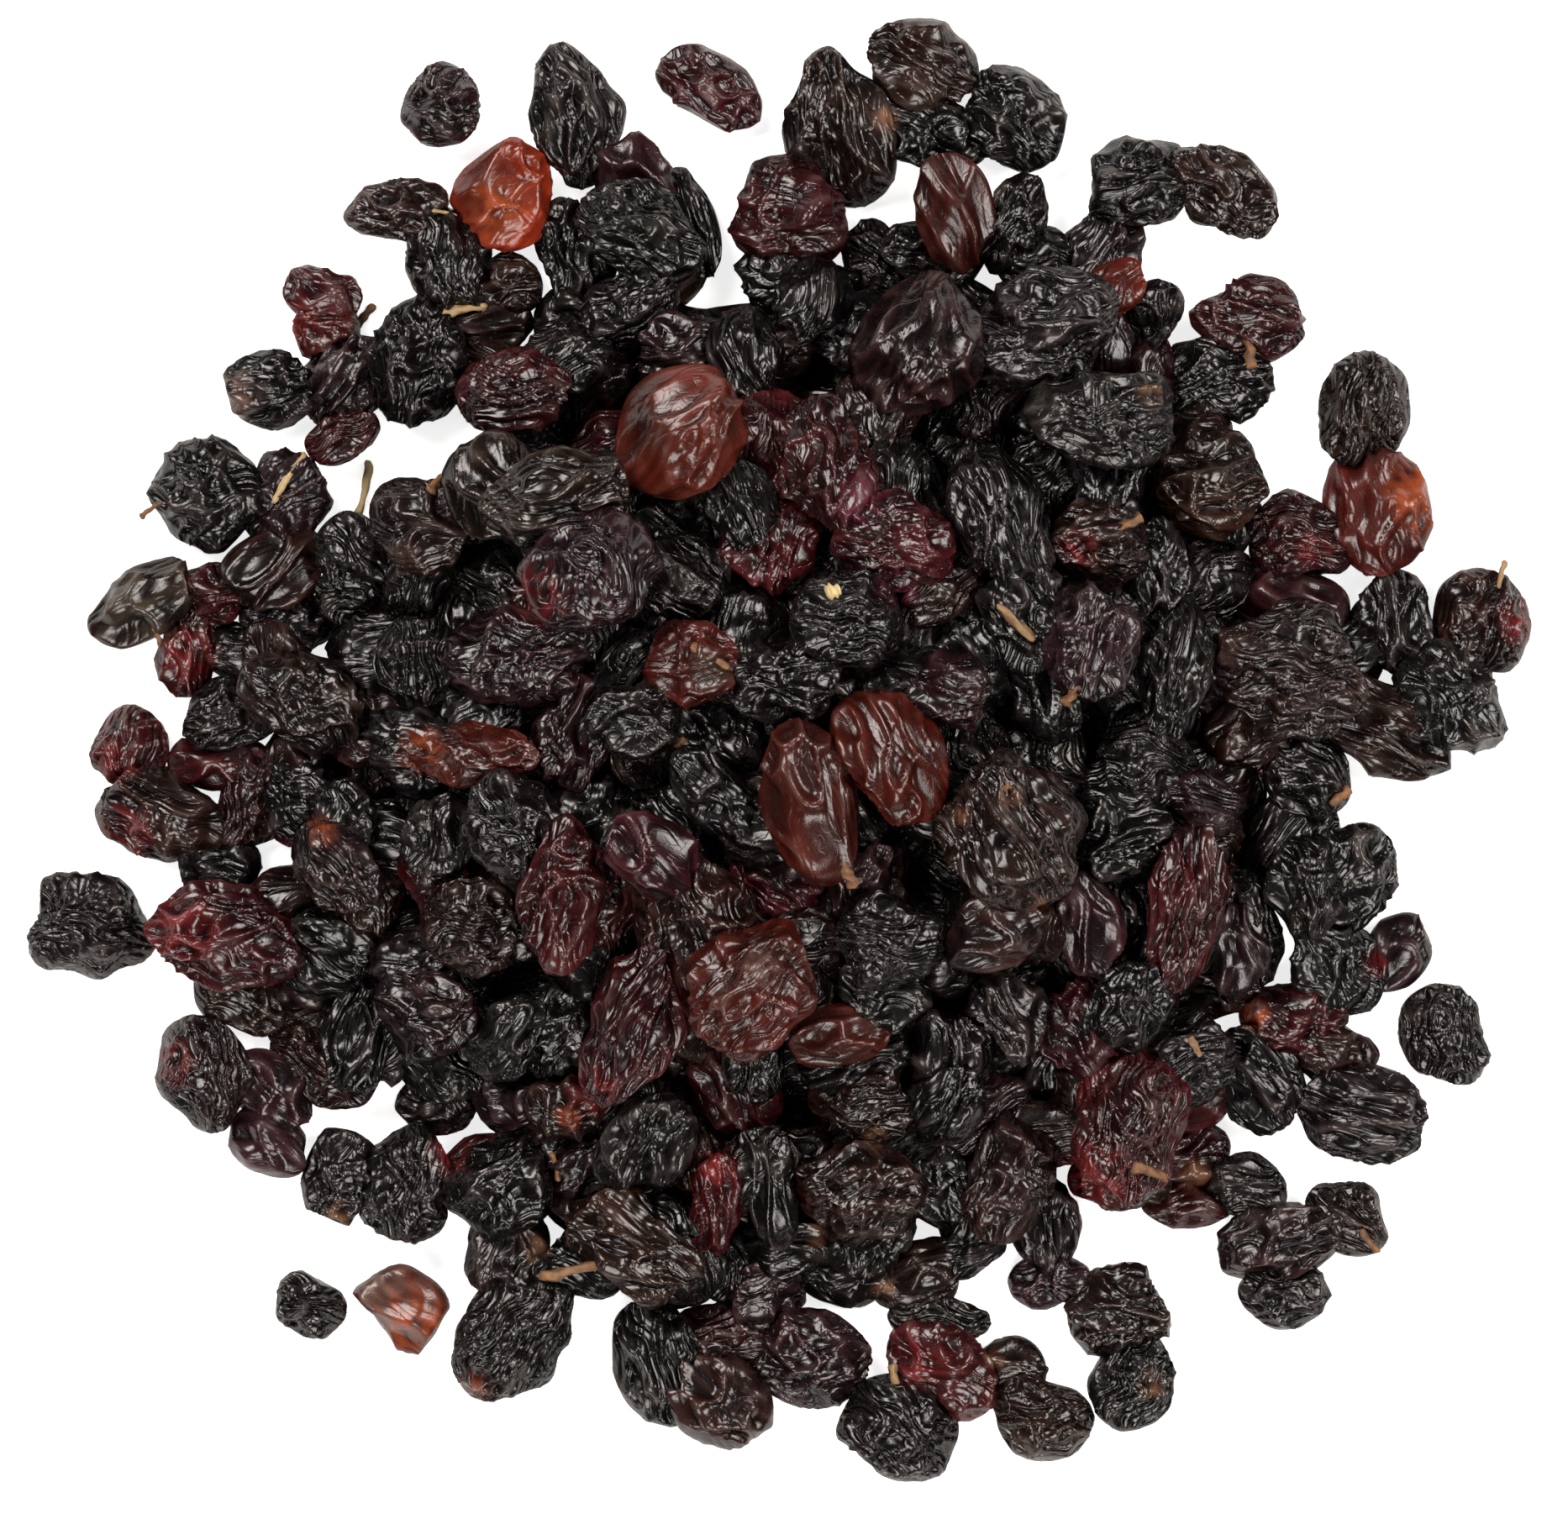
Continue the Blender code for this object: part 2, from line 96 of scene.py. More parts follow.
# Currants that make the outline
RIM = [
    (0.2, 37.4, 9.6, 6.2, -5, "black fold"), (-10.0, 38.6, 7.6, 6.0, 30, "brown smooth"),
    (7.4, 40.6, 6.2, 5.2, -30, "black fine"), (19.5, 43.6, 6.6, 6.2, 0, "black fine"),
    (24.0, 40.4, 5.4, 4.8, 0, "black fold"), (32.3, 34.5, 6.8, 5.4, 75, "maroon fold"),
    (31.0, 41.3, 7.8, 6.4, 60, "purple fold"), (38.3, 30.2, 9.0, 7.0, 0, "black fold"),
    (41.3, 20.6, 7.8, 7.2, 0, "maroon fine"), (43.6, 13.0, 9.0, 6.6, -20, "purple smooth"),
    (46.4, 5.4, 7.0, 5.8, 30, "black long"), (48.3, -12.0, 8.5, 6.8, -60, "charcoal fold"),
    (43.3, -17.2, 8.0, 6.0, -5, "maroon fold"), (39.0, -25.4, 8.6, 7.4, -50, "black long"),
    (39.6, -34.1, 6.0, 5.0, 0, "black fine"), (31.6, -37.2, 7.6, 5.8, 0, "maroon fold"),
    (23.5, -42.2, 9.0, 5.5, -80, "charcoal long"), (13.0, -42.5, 6.4, 4.6, 0, "brown fine"),
    (4.5, -42.0, 8.5, 6.0, 0, "black fold"), (-5.4, -41.6, 6.0, 5.0, 90, "black fine"),
    (-1.5, -43.0, 6.2, 6.0, 0, "purple fold"), (-22.0, -40.0, 9.6, 5.6, 78, "purple fold"),
    (-24.2, -33.0, 8.0, 5.4, 25, "maroon fine"), (-27.8, -27.8, 6.0, 4.8, 0, "black fine"),
    (-36.6, -26.2, 8.0, 5.6, -25, "brown fine"), (-39.0, -22.0, 7.0, 4.2, 0, "brown fine"),
    (-38.4, -18.2, 7.5, 4.8, 15, "purple smooth"), (-43.5, -4.2, 8.2, 5.2, 80, "purple fine"),
    (-39.5, -4.0, 6.4, 4.6, 90, "maroon fold"), (-46.8, 2.1, 7.4, 4.6, 0, "maroon smooth"),
    (-45.9, 7.1, 6.0, 5.0, 0, "charcoal fold"), (-41.8, 11.2, 7.2, 4.6, 0, "black fold"),
    (-41.5, 16.4, 8.2, 6.4, 35, "brown smooth"), (-39.8, 23.0, 7.6, 6.6, 40, "purple fold"),
    (-35.5, 30.0, 8.0, 6.2, 60, "purple fold"), (-29.5, 31.0, 10.0, 7.6, 80, "black fold"),
    (-24.0, 34.4, 6.8, 4.6, 0, "brown smooth"), (-22.3, 38.0, 5.2, 4.6, 0, "brown fine"),
    (-16.8, 34.0, 7.5, 6.6, 0, "black fold"), (-17.0, 41.3, 8.2, 6.2, 90, "charcoal fold"),
    (-28.5, 40.2, 7.2, 7.0, 90, "black fold"), (-11.8, 45.5, 8.4, 6.2, -62, "purple smooth"),
    (-7.0, 43.9, 9.4, 3.8, -72, "black long"), (0.2, 44.3, 8.4, 8.2, 0, "maroon fold"),
    (-22.2, 45.3, 8.8, 7.6, 40, "red smooth"), (-18.0, 52.0, 10.2, 6.8, -75, "charcoal long"),
    (-33.0, 45.4, 7.8, 5.6, -12, "brown fold"), (-37.2, 38.0, 6.0, 4.2, -15, "maroon fold"),
    (-37.6, 34.6, 5.4, 4.4, 0, "maroon fold"), (-43.1, 28.8, 7.0, 6.0, 0, "black fold"),
    (-46.9, 20.9, 8.6, 8.2, 0, "black fold"), (-48.0, 12.6, 5.4, 5.0, 0, "maroon fine"),
    (-54.0, 11.8, 9.0, 5.4, 32, "brown smooth"), (-49.2, 8.0, 6.2, 4.8, 90, "maroon fold"),
    (-53.5, 2.4, 6.6, 5.8, 80, "maroon fine"), (-51.4, -4.1, 10.0, 6.8, -15, "brown long"),
    (-46.5, -10.0, 6.4, 5.2, 0, "charcoal fold"), (-47.2, -18.0, 7.2, 5.0, -35, "brown fold"),
    (-46.6, -25.2, 8.6, 7.0, -75, "purple fine"), (-42.2, -27.5, 7.6, 5.0, -40, "purple smooth"),
    (-41.6, -31.8, 6.4, 4.8, -30, "purple smooth"), (-37.8, -33.5, 7.2, 5.6, 80, "charcoal fold"),
    (-31.4, -34.4, 9.0, 7.8, 90, "black fine"), (-21.6, -48.8, 12.0, 8.0, 50, "charcoal fine"),
    (-11.2, -42.8, 6.8, 4.2, 5, "maroon smooth"), (-13.6, -49.6, 10.0, 6.6, -75, "black long"),
    (-5.8, -47.4, 8.0, 5.2, 0, "maroon fine"), (-5.6, -51.4, 9.0, 7.0, -50, "brown smooth"),
    (2.8, -48.4, 9.0, 7.2, 0, "purple fold"), (7.7, -55.4, 8.4, 8.0, -45, "black fine"),
    (12.4, -51.2, 8.8, 6.2, -25, "maroon fold"), (13.4, -46.8, 7.6, 4.0, -10, "black fine"),
    (21.1, -45.4, 5.8, 4.4, 0, "purple fold"), (20.2, -49.4, 5.4, 5.2, 0, "brown smooth"),
    (21.1, -54.2, 7.3, 5.8, -15, "brown fine"), (28.5, -45.6, 9.0, 7.2, -10, "brown fold"),
    (28.3, -52.2, 7.2, 6.4, 60, "black fine"), (32.5, -40.6, 6.6, 4.0, 0, "maroon fold"),
    (39.4, -39.0, 9.0, 6.4, 15, "purple fold"), (40.2, -43.6, 6.6, 5.0, -5, "black fine"),
    (46.9, -31.1, 10.6, 7.4, -15, "charcoal long"), (45.4, -36.4, 6.8, 5.2, -40, "brown fine"),
    (43.6, -23.7, 6.4, 5.2, -20, "brown fold"), (51.6, -14.9, 6.2, 4.8, 60, "purple smooth"),
    (51.2, -4.0, 12.0, 7.2, -22, "brown long"), (53.2, 4.2, 8.6, 8.0, -45, "charcoal fold"),
    (50.7, 12.0, 7.8, 6.2, 95, "black fold"), (57.0, 13.4, 8.2, 7.2, 70, "brown fold"),
    (49.3, 20.6, 9.8, 8.0, 100, "russet smooth"), (45.5, 29.2, 8.4, 7.4, 75, "brown fine"),
    (38.6, 37.3, 8.2, 6.4, 0, "maroon fold"), (37.0, 45.0, 9.4, 6.2, -42, "brown fold"),
    (28.5, 47.8, 8.5, 7.2, 10, "charcoal fold"), (20.5, 51.2, 8.0, 7.2, -40, "black fold"),
    (13.3, 50.0, 9.6, 5.8, -15, "black fold"), (4.3, 50.2, 11.6, 7.6, -80, "brown long"),
    (10.8, 56.0, 9.0, 6.4, -25, "brown fold"), (34.7, -29.9, 7.4, 6.8, 0, "maroon smooth"),
    (-23.8, 30.0, 7.4, 6.0, 130, "brown fine"),
]

# Large currants that lie on top
TOP = [
    (13.4, 43.2, 9.2, 6.0, -75, "russet smooth"), (25.8, 37.1, 5.8, 4.2, 35, "red fold"),
    (-21.5, 28.8, 9.2, 6.4, -15, "maroon fold"), (-38.6, 4.3, 10.0, 7.0, -38, "brown fold"),
    (-28.6, 18.4, 8.0, 7.4, 0, "brown fold"), (-23.4, 21.2, 8.2, 7.4, 90, "brown smooth"),
    (-8.4, 14.3, 7.4, 6.8, -45, "charcoal fine"), (-3.8, 19.8, 7.4, 5.8, -70, "black long"),
    (-12.0, 3.2, 7.6, 6.0, 0, "charcoal fold"), (8.2, 16.6, 8.2, 7.8, 0, "maroon fold"),
    (24.0, 9.2, 8.4, 7.4, 80, "purple fold"), (13.2, 5.0, 6.6, 6.0, 0, "purple fold"),
    (25.0, 16.7, 8.0, 7.2, 0, "brown fold"), (33.3, 21.4, 8.8, 7.6, 0, "brown fold"),
    (-24.8, 0.2, 10.0, 4.6, -5, "russet fold"), (-27.6, -6.6, 6.6, 5.6, 75, "charcoal fold"),
    (-25.2, -13.6, 8.4, 7.4, 0, "brown fine"), (-10.4, -8.2, 8.6, 6.0, -40, "maroon smooth"),
    (-6.0, -2.6, 8.0, 5.0, -50, "charcoal fold"), (-35.8, -9.2, 9.0, 6.4, -50, "purple fine"),
    (-28.6, -20.4, 7.8, 6.4, -15, "purple fold"), (-22.0, -22.6, 7.4, 5.2, 50, "charcoal fold"),
    (-17.5, -28.2, 6.2, 5.4, 0, "brown fold"), (-11.2, -31.0, 8.5, 7.0, 75, "charcoal long"),
    (-5.7, -35.7, 8.6, 4.2, 80, "maroon fold"), (-1.6, -35.0, 8.6, 4.0, -80, "charcoal smooth"),
    (6.7, -28.2, 6.4, 5.6, 0, "brown fine"), (12.4, -27.8, 7.4, 5.0, 60, "black long"),
    (17.6, -33.6, 8.6, 7.4, 75, "purple fold"), (3.8, -22.3, 7.8, 4.8, 10, "russet smooth"),
    (8.0, -14.8, 8.2, 7.4, 0, "charcoal fine"), (16.5, -13.8, 8.5, 6.0, 20, "brown smooth"),
    (17.8, -21.0, 8.0, 5.5, -60, "charcoal fold"), (26.9, -19.9, 7.4, 6.4, 60, "black fold"),
    (23.9, -13.5, 8.0, 5.4, -70, "purple smooth"), (35.9, -15.6, 7.4, 4.6, 90, "purple smooth"),
    (41.4, -10.6, 7.8, 6.0, -80, "black fold"), (26.5, -6.3, 8.0, 7.4, 0, "black fold"),
    (20.4, 33.6, 10.8, 9.8, 0, "charcoal fold"), (25.3, 26.8, 11.6, 7.9, 5, "charcoal fold"),
    (10.2, 32.4, 11.5, 10.0, 70, "purple smooth"), (-17.8, 20.4, 11.4, 7.2, 8, "brown long"),
    (-15.4, 14.5, 10.4, 8.8, 0, "purple ring"), (-21.3, 7.6, 10.2, 7.8, -5, "purple fold"),
    (-7.3, 7.1, 6.8, 6.4, 0, "russet fold"), (-0.2, 5.7, 8.4, 7.6, 0, "black fold"),
    (5.0, 11.0, 8.0, 7.6, 0, "black fine"), (2.7, 22.9, 10.0, 7.6, -75, "maroon fold"),
    (16.8, 18.5, 10.8, 7.8, -78, "charcoal long"), (30.8, 6.9, 10.2, 6.2, 78, "black long"),
    (39.9, 6.6, 11.4, 10.6, 0, "purple fine"), (8.1, 0.1, 11.2, 8.0, -68, "russet smooth"),
    (1.7, -3.6, 12.4, 7.2, -75, "russet smooth"), (17.4, -6.4, 11.5, 10.6, -60, "brown long"),
    (31.7, -11.7, 12.6, 6.4, 78, "maroon long"), (27.2, -29.3, 11.6, 8.6, 80, "maroon fine"),
    (-44.6, -14.2, 11.6, 8.0, -8, "maroon fold"), (-21.8, -5.6, 8.4, 6.8, -45, "black fold"),
    (-17.8, -11.0, 11.4, 6.8, 75, "maroon fold"), (-12.1, -21.2, 13.0, 7.0, 65, "maroon long"),
    (-2.6, -18.3, 10.0, 9.4, 45, "russet fold"), (5.4, -34.6, 10.0, 8.6, 15, "brown fold"),
    (-12.5, -38.4, 11.0, 7.4, -35, "brown long"), (-8.2, 25.6, 10.8, 10.2, 20, "russet smooth"),
]

# Bare spots among the outer currants: x, y, radius
GAPS = [
    (5.0, 43.6, 2.6), (-5.2, 38.6, 2.0), (-20.6, 34.6, 1.8), (-22.5, 41.4, 1.8),
    (-26.6, 25.6, 2.6), (-32.4, 22.0, 2.0), (-37.8, 18.8, 2.0), (-36.3, 8.0, 1.4),
    (30.0, 31.0, 2.0), (41.8, 25.2, 2.4), (-48.0, -0.8, 1.6), (-42.0, -7.4, 1.8),
    (-42.6, -20.7, 1.6), (-32.0, -28.0, 3.0), (-25.5, -29.8, 2.2), (39.6, -30.6, 1.8),
    (36.2, -36.2, 2.2), (28.2, -40.4, 2.2), (9.0, -43.8, 2.2), (17.2, -46.0, 2.6),
    (-36.8, -30.0, 1.4), (-27.0, -38.6, 2.4), (-8.2, -44.6, 1.6), (47.0, -19.6, 2.4),
]
FILLER_LOOKS = (["black fine"] * 5 + ["black fold"] * 4 + ["black long"] * 3 + ["charcoal fold"] * 3
                + ["charcoal fine"] + ["brown fine"] * 3 + ["brown fold"] * 4 + ["brown long"]
                + ["purple fold"] * 3 + ["purple fine"] + ["maroon fold"] * 2 + ["maroon fine"])


def mound(x, y, height, radius):
    """Dome that is highest at the centre and meets the floor at the radius."""
    return height * np.maximum(0.0, 1.0 - (x * x + y * y) / (radius * radius))


def resting_axes(x, y, turn, rng):
    """Long, wide and thick axes of a currant that lies along the mound's slope."""
    lean = 2.0 * MOUND_HEIGHT / (MOUND_RADIUS * MOUND_RADIUS)
    if math.hypot(x, y) > CORE_RADIUS + LEVEL_FROM:
        lean = 0.0
    thick = np.array([lean * x + rng.gauss(0.0, TILT), lean * y + rng.gauss(0.0, TILT), 1.0])
    thick /= np.linalg.norm(thick)
    along = np.array([math.cos(math.radians(turn)), math.sin(math.radians(turn)), 0.0])
    along -= thick * along.dot(thick)
    along /= np.linalg.norm(along)
    return np.array([along, np.cross(thick, along), thick])


def shell(x, y, axes, halves, east, north):
    """Cells under an ellipsoid at x, y, with its lower and upper surface about its centre."""
    quad = sum(np.outer(axis, axis) / (half * half) for axis, half in zip(axes, halves))
    right = east - x
    up = north - y
    slant = 2.0 * (quad[0, 2] * right + quad[1, 2] * up)
    rest = quad[0, 0] * right * right + 2.0 * quad[0, 1] * right * up + quad[1, 1] * up * up - 1.0
    inside = slant * slant - 4.0 * quad[2, 2] * rest
    covered = inside > 0.0
    root = np.sqrt(np.where(covered, inside, 0.0))
    return covered, (-slant - root) / (2.0 * quad[2, 2]), (-slant + root) / (2.0 * quad[2, 2])


def reach(row, heading):
    """Half the breadth of a currant's outline along a heading."""
    length, width, turn = row[2:5]
    bearing = heading - math.radians(turn)
    return length * width / 2.0 / math.hypot(width * math.cos(bearing), length * math.sin(bearing))


class Pile:
    """Height field of the heap, on which each new currant comes to rest."""

    def __init__(self):
        line = np.arange(-REACH, REACH + GRID, GRID)
        self.east, self.north = np.meshgrid(line, line)
        self.height = mound(self.east, self.north, CORE_HEIGHT, CORE_RADIUS)
        self.owner = np.full(self.height.shape, -1)
        self.currants = []
        self.rows = [(0.0, 0.0, 2.0 * HOLD_RADIUS, 2.0 * HOLD_RADIUS, 0.0)]

    def window(self, x, y, margin):
        """Slices of the grid within a margin of a place."""
        first = np.array([y, x]) + REACH - margin
        last = np.array([y, x]) + REACH + margin
        rows, columns = [slice(max(0, int(start / GRID)), int(end / GRID) + 2)
                         for start, end in zip(first, last)]
        return rows, columns

    def landing(self, x, y, axes, halves, sink):
        """Height of the centre of a currant dropped at x, y, and what it covers."""
        part = self.window(x, y, halves[0])
        covered, low, high = shell(x, y, axes, halves, self.east[part], self.north[part])
        centre = (self.height[part] - low)[covered].max() - sink
        return max(centre, LIFT - low[covered].min()), part, covered, high

    def add(self, x, y, axes, halves, sink, look):
        """Drop a currant and raise the height field by it."""
        centre, part, covered, high = self.landing(x, y, axes, halves, sink)
        raised = covered & (centre + high > self.height[part])
        self.height[part][raised] = (centre + high)[raised]
        self.owner[part][raised] = len(self.currants)
        self.currants.append((np.array([x, y, centre]), axes, halves, look))

    def pressed(self, row):
        """Row slid, if need be, until it presses against the heap or a placed currant."""
        x, y, length, width, turn = row
        nearest = None
        for other in self.rows:
            heading = math.atan2(other[1] - y, other[0] - x)
            apart = math.hypot(other[0] - x, other[1] - y)
            free = apart - reach(row, heading) - reach(other, heading)
            if nearest is None or free < nearest:
                nearest, inward = free, heading
        slide = max(0.0, nearest + PRESS)
        return (x + slide * math.cos(inward), y + slide * math.sin(inward), length, width, turn)

    def add_row(self, row, sink, rng):
        """Drop a currant given as x, y, length, width, turn and look."""
        look = row[5]
        row = self.pressed(row[:5])
        self.rows.append(row)
        x, y, length, width, turn = row
        thick = FLATNESS * width * rng.uniform(*THICKNESS_SPREAD)
        halves = (length / 2, width / 2, thick / 2)
        self.add(x, y, resting_axes(x, y, turn, rng), halves, sink, look)

    def add_filler(self, ring, share, sink, rng, look):
        """Drop a currant of drawn size where a ring of the heap is lowest under its mound."""
        length = min(LONGEST, max(SHORTEST, rng.gauss(LENGTH, LENGTH_SPREAD)))
        width = length * rng.uniform(*WIDTH_SHARE)
        thick = FLATNESS * width * rng.uniform(*THICKNESS_SPREAD)
        halves = (length / 2, width / 2, thick / 2)
        clear = CLEARANCE * width
        best = None
        for _ in range(TRIES):
            distance = math.sqrt(rng.uniform(ring[0] ** 2, ring[1] ** 2))
            angle = rng.uniform(0.0, 2.0 * math.pi)
            row = (distance * math.cos(angle), distance * math.sin(angle), length, width,
                   rng.uniform(0.0, 180.0))
            x, y = self.pressed(row)[:2]
            axes = resting_axes(x, y, row[4], rng)
            if any(math.hypot(x - gap[0], y - gap[1]) < gap[2] + clear for gap in GAPS):
                continue
            if any(math.hypot(x - top[0], y - top[1]) < CLEARANCE * top[3] for top in TOP):
                continue
            level = self.landing(x, y, axes, halves, sink)[0]
            level -= share * mound(x, y, MOUND_HEIGHT, MOUND_RADIUS)
            if best is None or level < best[0]:
                best = (level, x, y, row[4], axes)
        _, x, y, turn, axes = best
        self.rows.append((x, y, length, width, turn))
        self.add(x, y, axes, halves, sink, look)

    def seen(self):
        """Area of each currant in view from above, mm2."""
        return np.bincount(self.owner[self.owner >= 0], minlength=len(self.currants)) * GRID * GRID


def settled_pile():
    """Outline currants first, then the drawn ones, then the large ones on top."""
    rng = random.Random(SEED)
    taste = random.Random(SEED + 5)
    heap = Pile()
    for row in sorted(RIM, key=lambda place: math.hypot(place[0], place[1])):
        heap.add_row(row, RIM_SINK, rng)
    for _ in range(SHOULDER_COUNT):
        heap.add_filler(SHOULDER, SHOULDER_SHARE, SHOULDER_SINK, rng, taste.choice(FILLER_LOOKS))
    for _ in range(CROWN_COUNT):
        heap.add_filler(CROWN, CROWN_SHARE, CROWN_SINK, rng, taste.choice(FILLER_LOOKS))
    for row in TOP:
        heap.add_row(row, TOP_SINK, rng)
    return heap


pile = settled_pile()


def beside(x, y):
    """A place given by the rows, moved as far as its nearest currant was slid into the heap."""
    given = RIM + TOP
    distances = [math.hypot(row[0] - x, row[1] - y) / row[3] for row in given]
    nearest = distances.index(min(distances))
    row = given[nearest]
    order = sorted(RIM, key=lambda place: math.hypot(place[0], place[1]))
    number = order.index(row) if nearest < len(RIM) else nearest + SHOULDER_COUNT + CROWN_COUNT
    centre = pile.currants[number][0]
    if math.hypot(row[0] - x, row[1] - y) > row[2]:
        centre = row
    return x + centre[0] - row[0], y + centre[1] - row[1]


# The middle of the heap, which shows only as near-black depths between the currants: small and
# broken fruit pressed together. Its near-black colour is their dark skin with painted shade for the
# depths. One low dark mound, uneven on top and flat where it rests.
MM = 0.001
# Radius of the core's edge, and what it keeps from a bare spot to each side and inwards, mm
CORE_EDGE = 38.5
GAP_SIDE = 2.0
GAP_BACK = 0.6
# Depth of the core under the heap's top, with the height and length of its broad and small lumps
CORE_DEPTH = 4.8
BROAD_LUMPS = (1.1, 9.0)
SMALL_LUMPS = (0.35, 3.0)
SMOOTHINGS = 40
# Least height of the core, and that of its rim
CORE_LEAST = 0.9
CORE_LIP = 0.4
CORE_RINGS = 52
CORE_SIDES = 120


def put_mesh(name, places, faces, fields=()):
    """Mesh object from vertex places in mm, face corner arrays and named vertex fields."""
    layouts = {1: ("FLOAT", "value"), 3: ("FLOAT_VECTOR", "vector"), 4: ("FLOAT_COLOR", "color")}
    mesh = bpy.data.meshes.new(name)
    mesh.vertices.add(len(places))
    mesh.vertices.foreach_set("co", (places * MM).astype(np.float32).ravel())
    corners = np.concatenate([part.ravel() for part in faces])
    counts = np.concatenate([np.full(len(part), part.shape[1]) for part in faces])
    mesh.loops.add(len(corners))
    mesh.loops.foreach_set("vertex_index", corners.astype(np.int32))
    mesh.polygons.add(len(counts))
    starts = np.concatenate([[0], np.cumsum(counts)[:-1]])
    mesh.polygons.foreach_set("loop_start", starts.astype(np.int32))
    mesh.polygons.foreach_set("use_smooth", np.ones(len(counts), bool))
    mesh.update(calc_edges=True)
    for field, values in fields:
        kind, key = layouts[1 if values.ndim == 1 else values.shape[1]]
        layer = mesh.attributes.new(field, kind, "POINT")
        layer.data.foreach_set(key, values.astype(np.float32).ravel())
    mesh.validate()
    piece = bpy.data.objects.new(name, mesh)
    bpy.context.scene.collection.objects.link(piece)
    return piece


def closed_faces(rings, sides):
    """Corners of the quads between rings, and of the triangles round the two poles.

    Vertices run ring by ring, then the first pole, then the last one.
    """
    ring, side = np.meshgrid(np.arange(rings - 1), np.arange(sides), indexing="ij")
    after = (side + 1) % sides
    quads = np.stack([ring * sides + side, ring * sides + after,
                      (ring + 1) * sides + after, (ring + 1) * sides + side], -1).reshape(-1, 4)
    side = np.arange(sides)
    after = (side + 1) % sides
    first = np.stack([np.full(sides, rings * sides), after, side], -1)
    base = (rings - 1) * sides
    last = np.stack([np.full(sides, rings * sides + 1), base + side, base + after], -1)
    return quads, np.concatenate([first, last])


def waves(place, length, rng, count=7):
    """Sum of plane waves of nearly one length in drawn directions, scaled to a spread of one."""
    heading = rng.normal(size=(3, count))
    lengths = length * rng.uniform(0.75, 1.3, count)
    heading *= 2.0 * math.pi / (lengths * np.linalg.norm(heading, axis=0))
    start = rng.uniform(0.0, 2.0 * math.pi, count)
    return np.sin(place @ heading + start).sum(-1) * math.sqrt(2.0 / count)


def core_edge(angle):
    """Radius of the core's edge, drawn in where a bare spot would show it."""
    radius = np.full(angle.shape, CORE_EDGE)
    for x, y, gap in GAPS:
        distance = math.hypot(x, y)
        aside = math.atan2(y, x) - angle
        near = (np.cos(aside) > 0.0) & (np.abs(distance * np.sin(aside)) < gap + GAP_SIDE)
        radius = np.where(near, np.minimum(radius, distance - gap - GAP_BACK), radius)
    return radius


def core_surface(rings, sides):
    """Rings at even shares of the edge's radius, each point a depth under the heap's smoothed top.

    Two sums of waves make it uneven, and a foot ring closes it on the floor.
    """
    share, angle = np.meshgrid(np.linspace(0.0, 1.0, rings + 1)[1:],
                               np.arange(sides) * 2.0 * math.pi / sides, indexing="ij")
    radius = share * core_edge(angle)
    x, y = radius * np.cos(angle), radius * np.sin(angle)
    column = np.clip(((x + REACH) / GRID).round().astype(int), 0, pile.height.shape[1] - 1)
    line = np.clip(((y + REACH) / GRID).round().astype(int), 0, pile.height.shape[0] - 1)
    smooth = pile.height
    for _ in range(SMOOTHINGS):
        smooth = (np.roll(smooth, 1, 0) + np.roll(smooth, -1, 0) + np.roll(smooth, 1, 1)
                  + np.roll(smooth, -1, 1) + smooth) / 5.0
    plan = np.stack([x, y, 0.0 * x], -1)
    z = smooth[line, column] - CORE_DEPTH
    for (rise, length), seed in ((BROAD_LUMPS, 3), (SMALL_LUMPS, 4)):
        z = z + rise * np.abs(waves(plan, length, np.random.default_rng(seed)))
    z = np.where(share < 1.0, np.maximum(z, CORE_LEAST), CORE_LIP)
    top = np.stack([x, y, z], -1)
    foot = np.stack([x[-1], y[-1], np.zeros(sides)], -1)[None]
    places = np.concatenate([top, foot]).reshape(-1, 3)
    poles = np.array([[0.0, 0.0, z[0].mean()], [0.0, 0.0, 0.0]])
    return np.concatenate([places, poles]), closed_faces(rings + 1, sides)


def surface_material(name):
    """Empty material with its shader, and the tree's node and link makers."""
    material = bpy.data.materials.new(name)
    material.use_nodes = True
    tree = material.node_tree
    return material, tree.nodes["Principled BSDF"], tree.nodes.new, tree.links.new


# The rings run outwards here, so each face's corners are taken the other way round
places, faces = core_surface(CORE_RINGS, CORE_SIDES)
heap_core = put_mesh("heap_core", places, [part[:, ::-1] for part in faces])
depths, shader, node, link = surface_material("pressed_fruit_in_shade")
shader.inputs["Roughness"].default_value = 0.34
shader.inputs["Specular IOR Level"].default_value = 0.4
wrinkles, bump = node("ShaderNodeTexNoise"), node("ShaderNodeBump")
wrinkles.inputs["Scale"].default_value = 520.0
wrinkles.inputs["Detail"].default_value = 2.0
wrinkles.inputs["Distortion"].default_value = 1.2
bump.inputs["Distance"].default_value = 0.0016
link(wrinkles.outputs["Fac"], bump.inputs["Height"])
link(bump.outputs["Normal"], shader.inputs["Normal"])
spots = node("ShaderNodeTexNoise")
spots.inputs["Scale"].default_value = 900.0
spots.inputs["Detail"].default_value = 3.0
where = node("ShaderNodeTexCoord")
link(where.outputs["Object"], spots.inputs["Vector"])
link(where.outputs["Object"], wrinkles.inputs["Vector"])
# Near-black colour: the currants' dark skin, darkened further as painted shade for the depths
# between them
tint = node("ShaderNodeValToRGB")
tint.color_ramp.elements[0].color = (0.002, 0.0015, 0.0015, 1.0)
tint.color_ramp.elements[1].color = (0.008, 0.005, 0.005, 1.0)
link(spots.outputs["Fac"], tint.inputs["Fac"])
link(tint.outputs["Color"], shader.inputs["Base Color"])
heap_core.data.materials.append(depths)
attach(heap_core, "root")
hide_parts("heap")
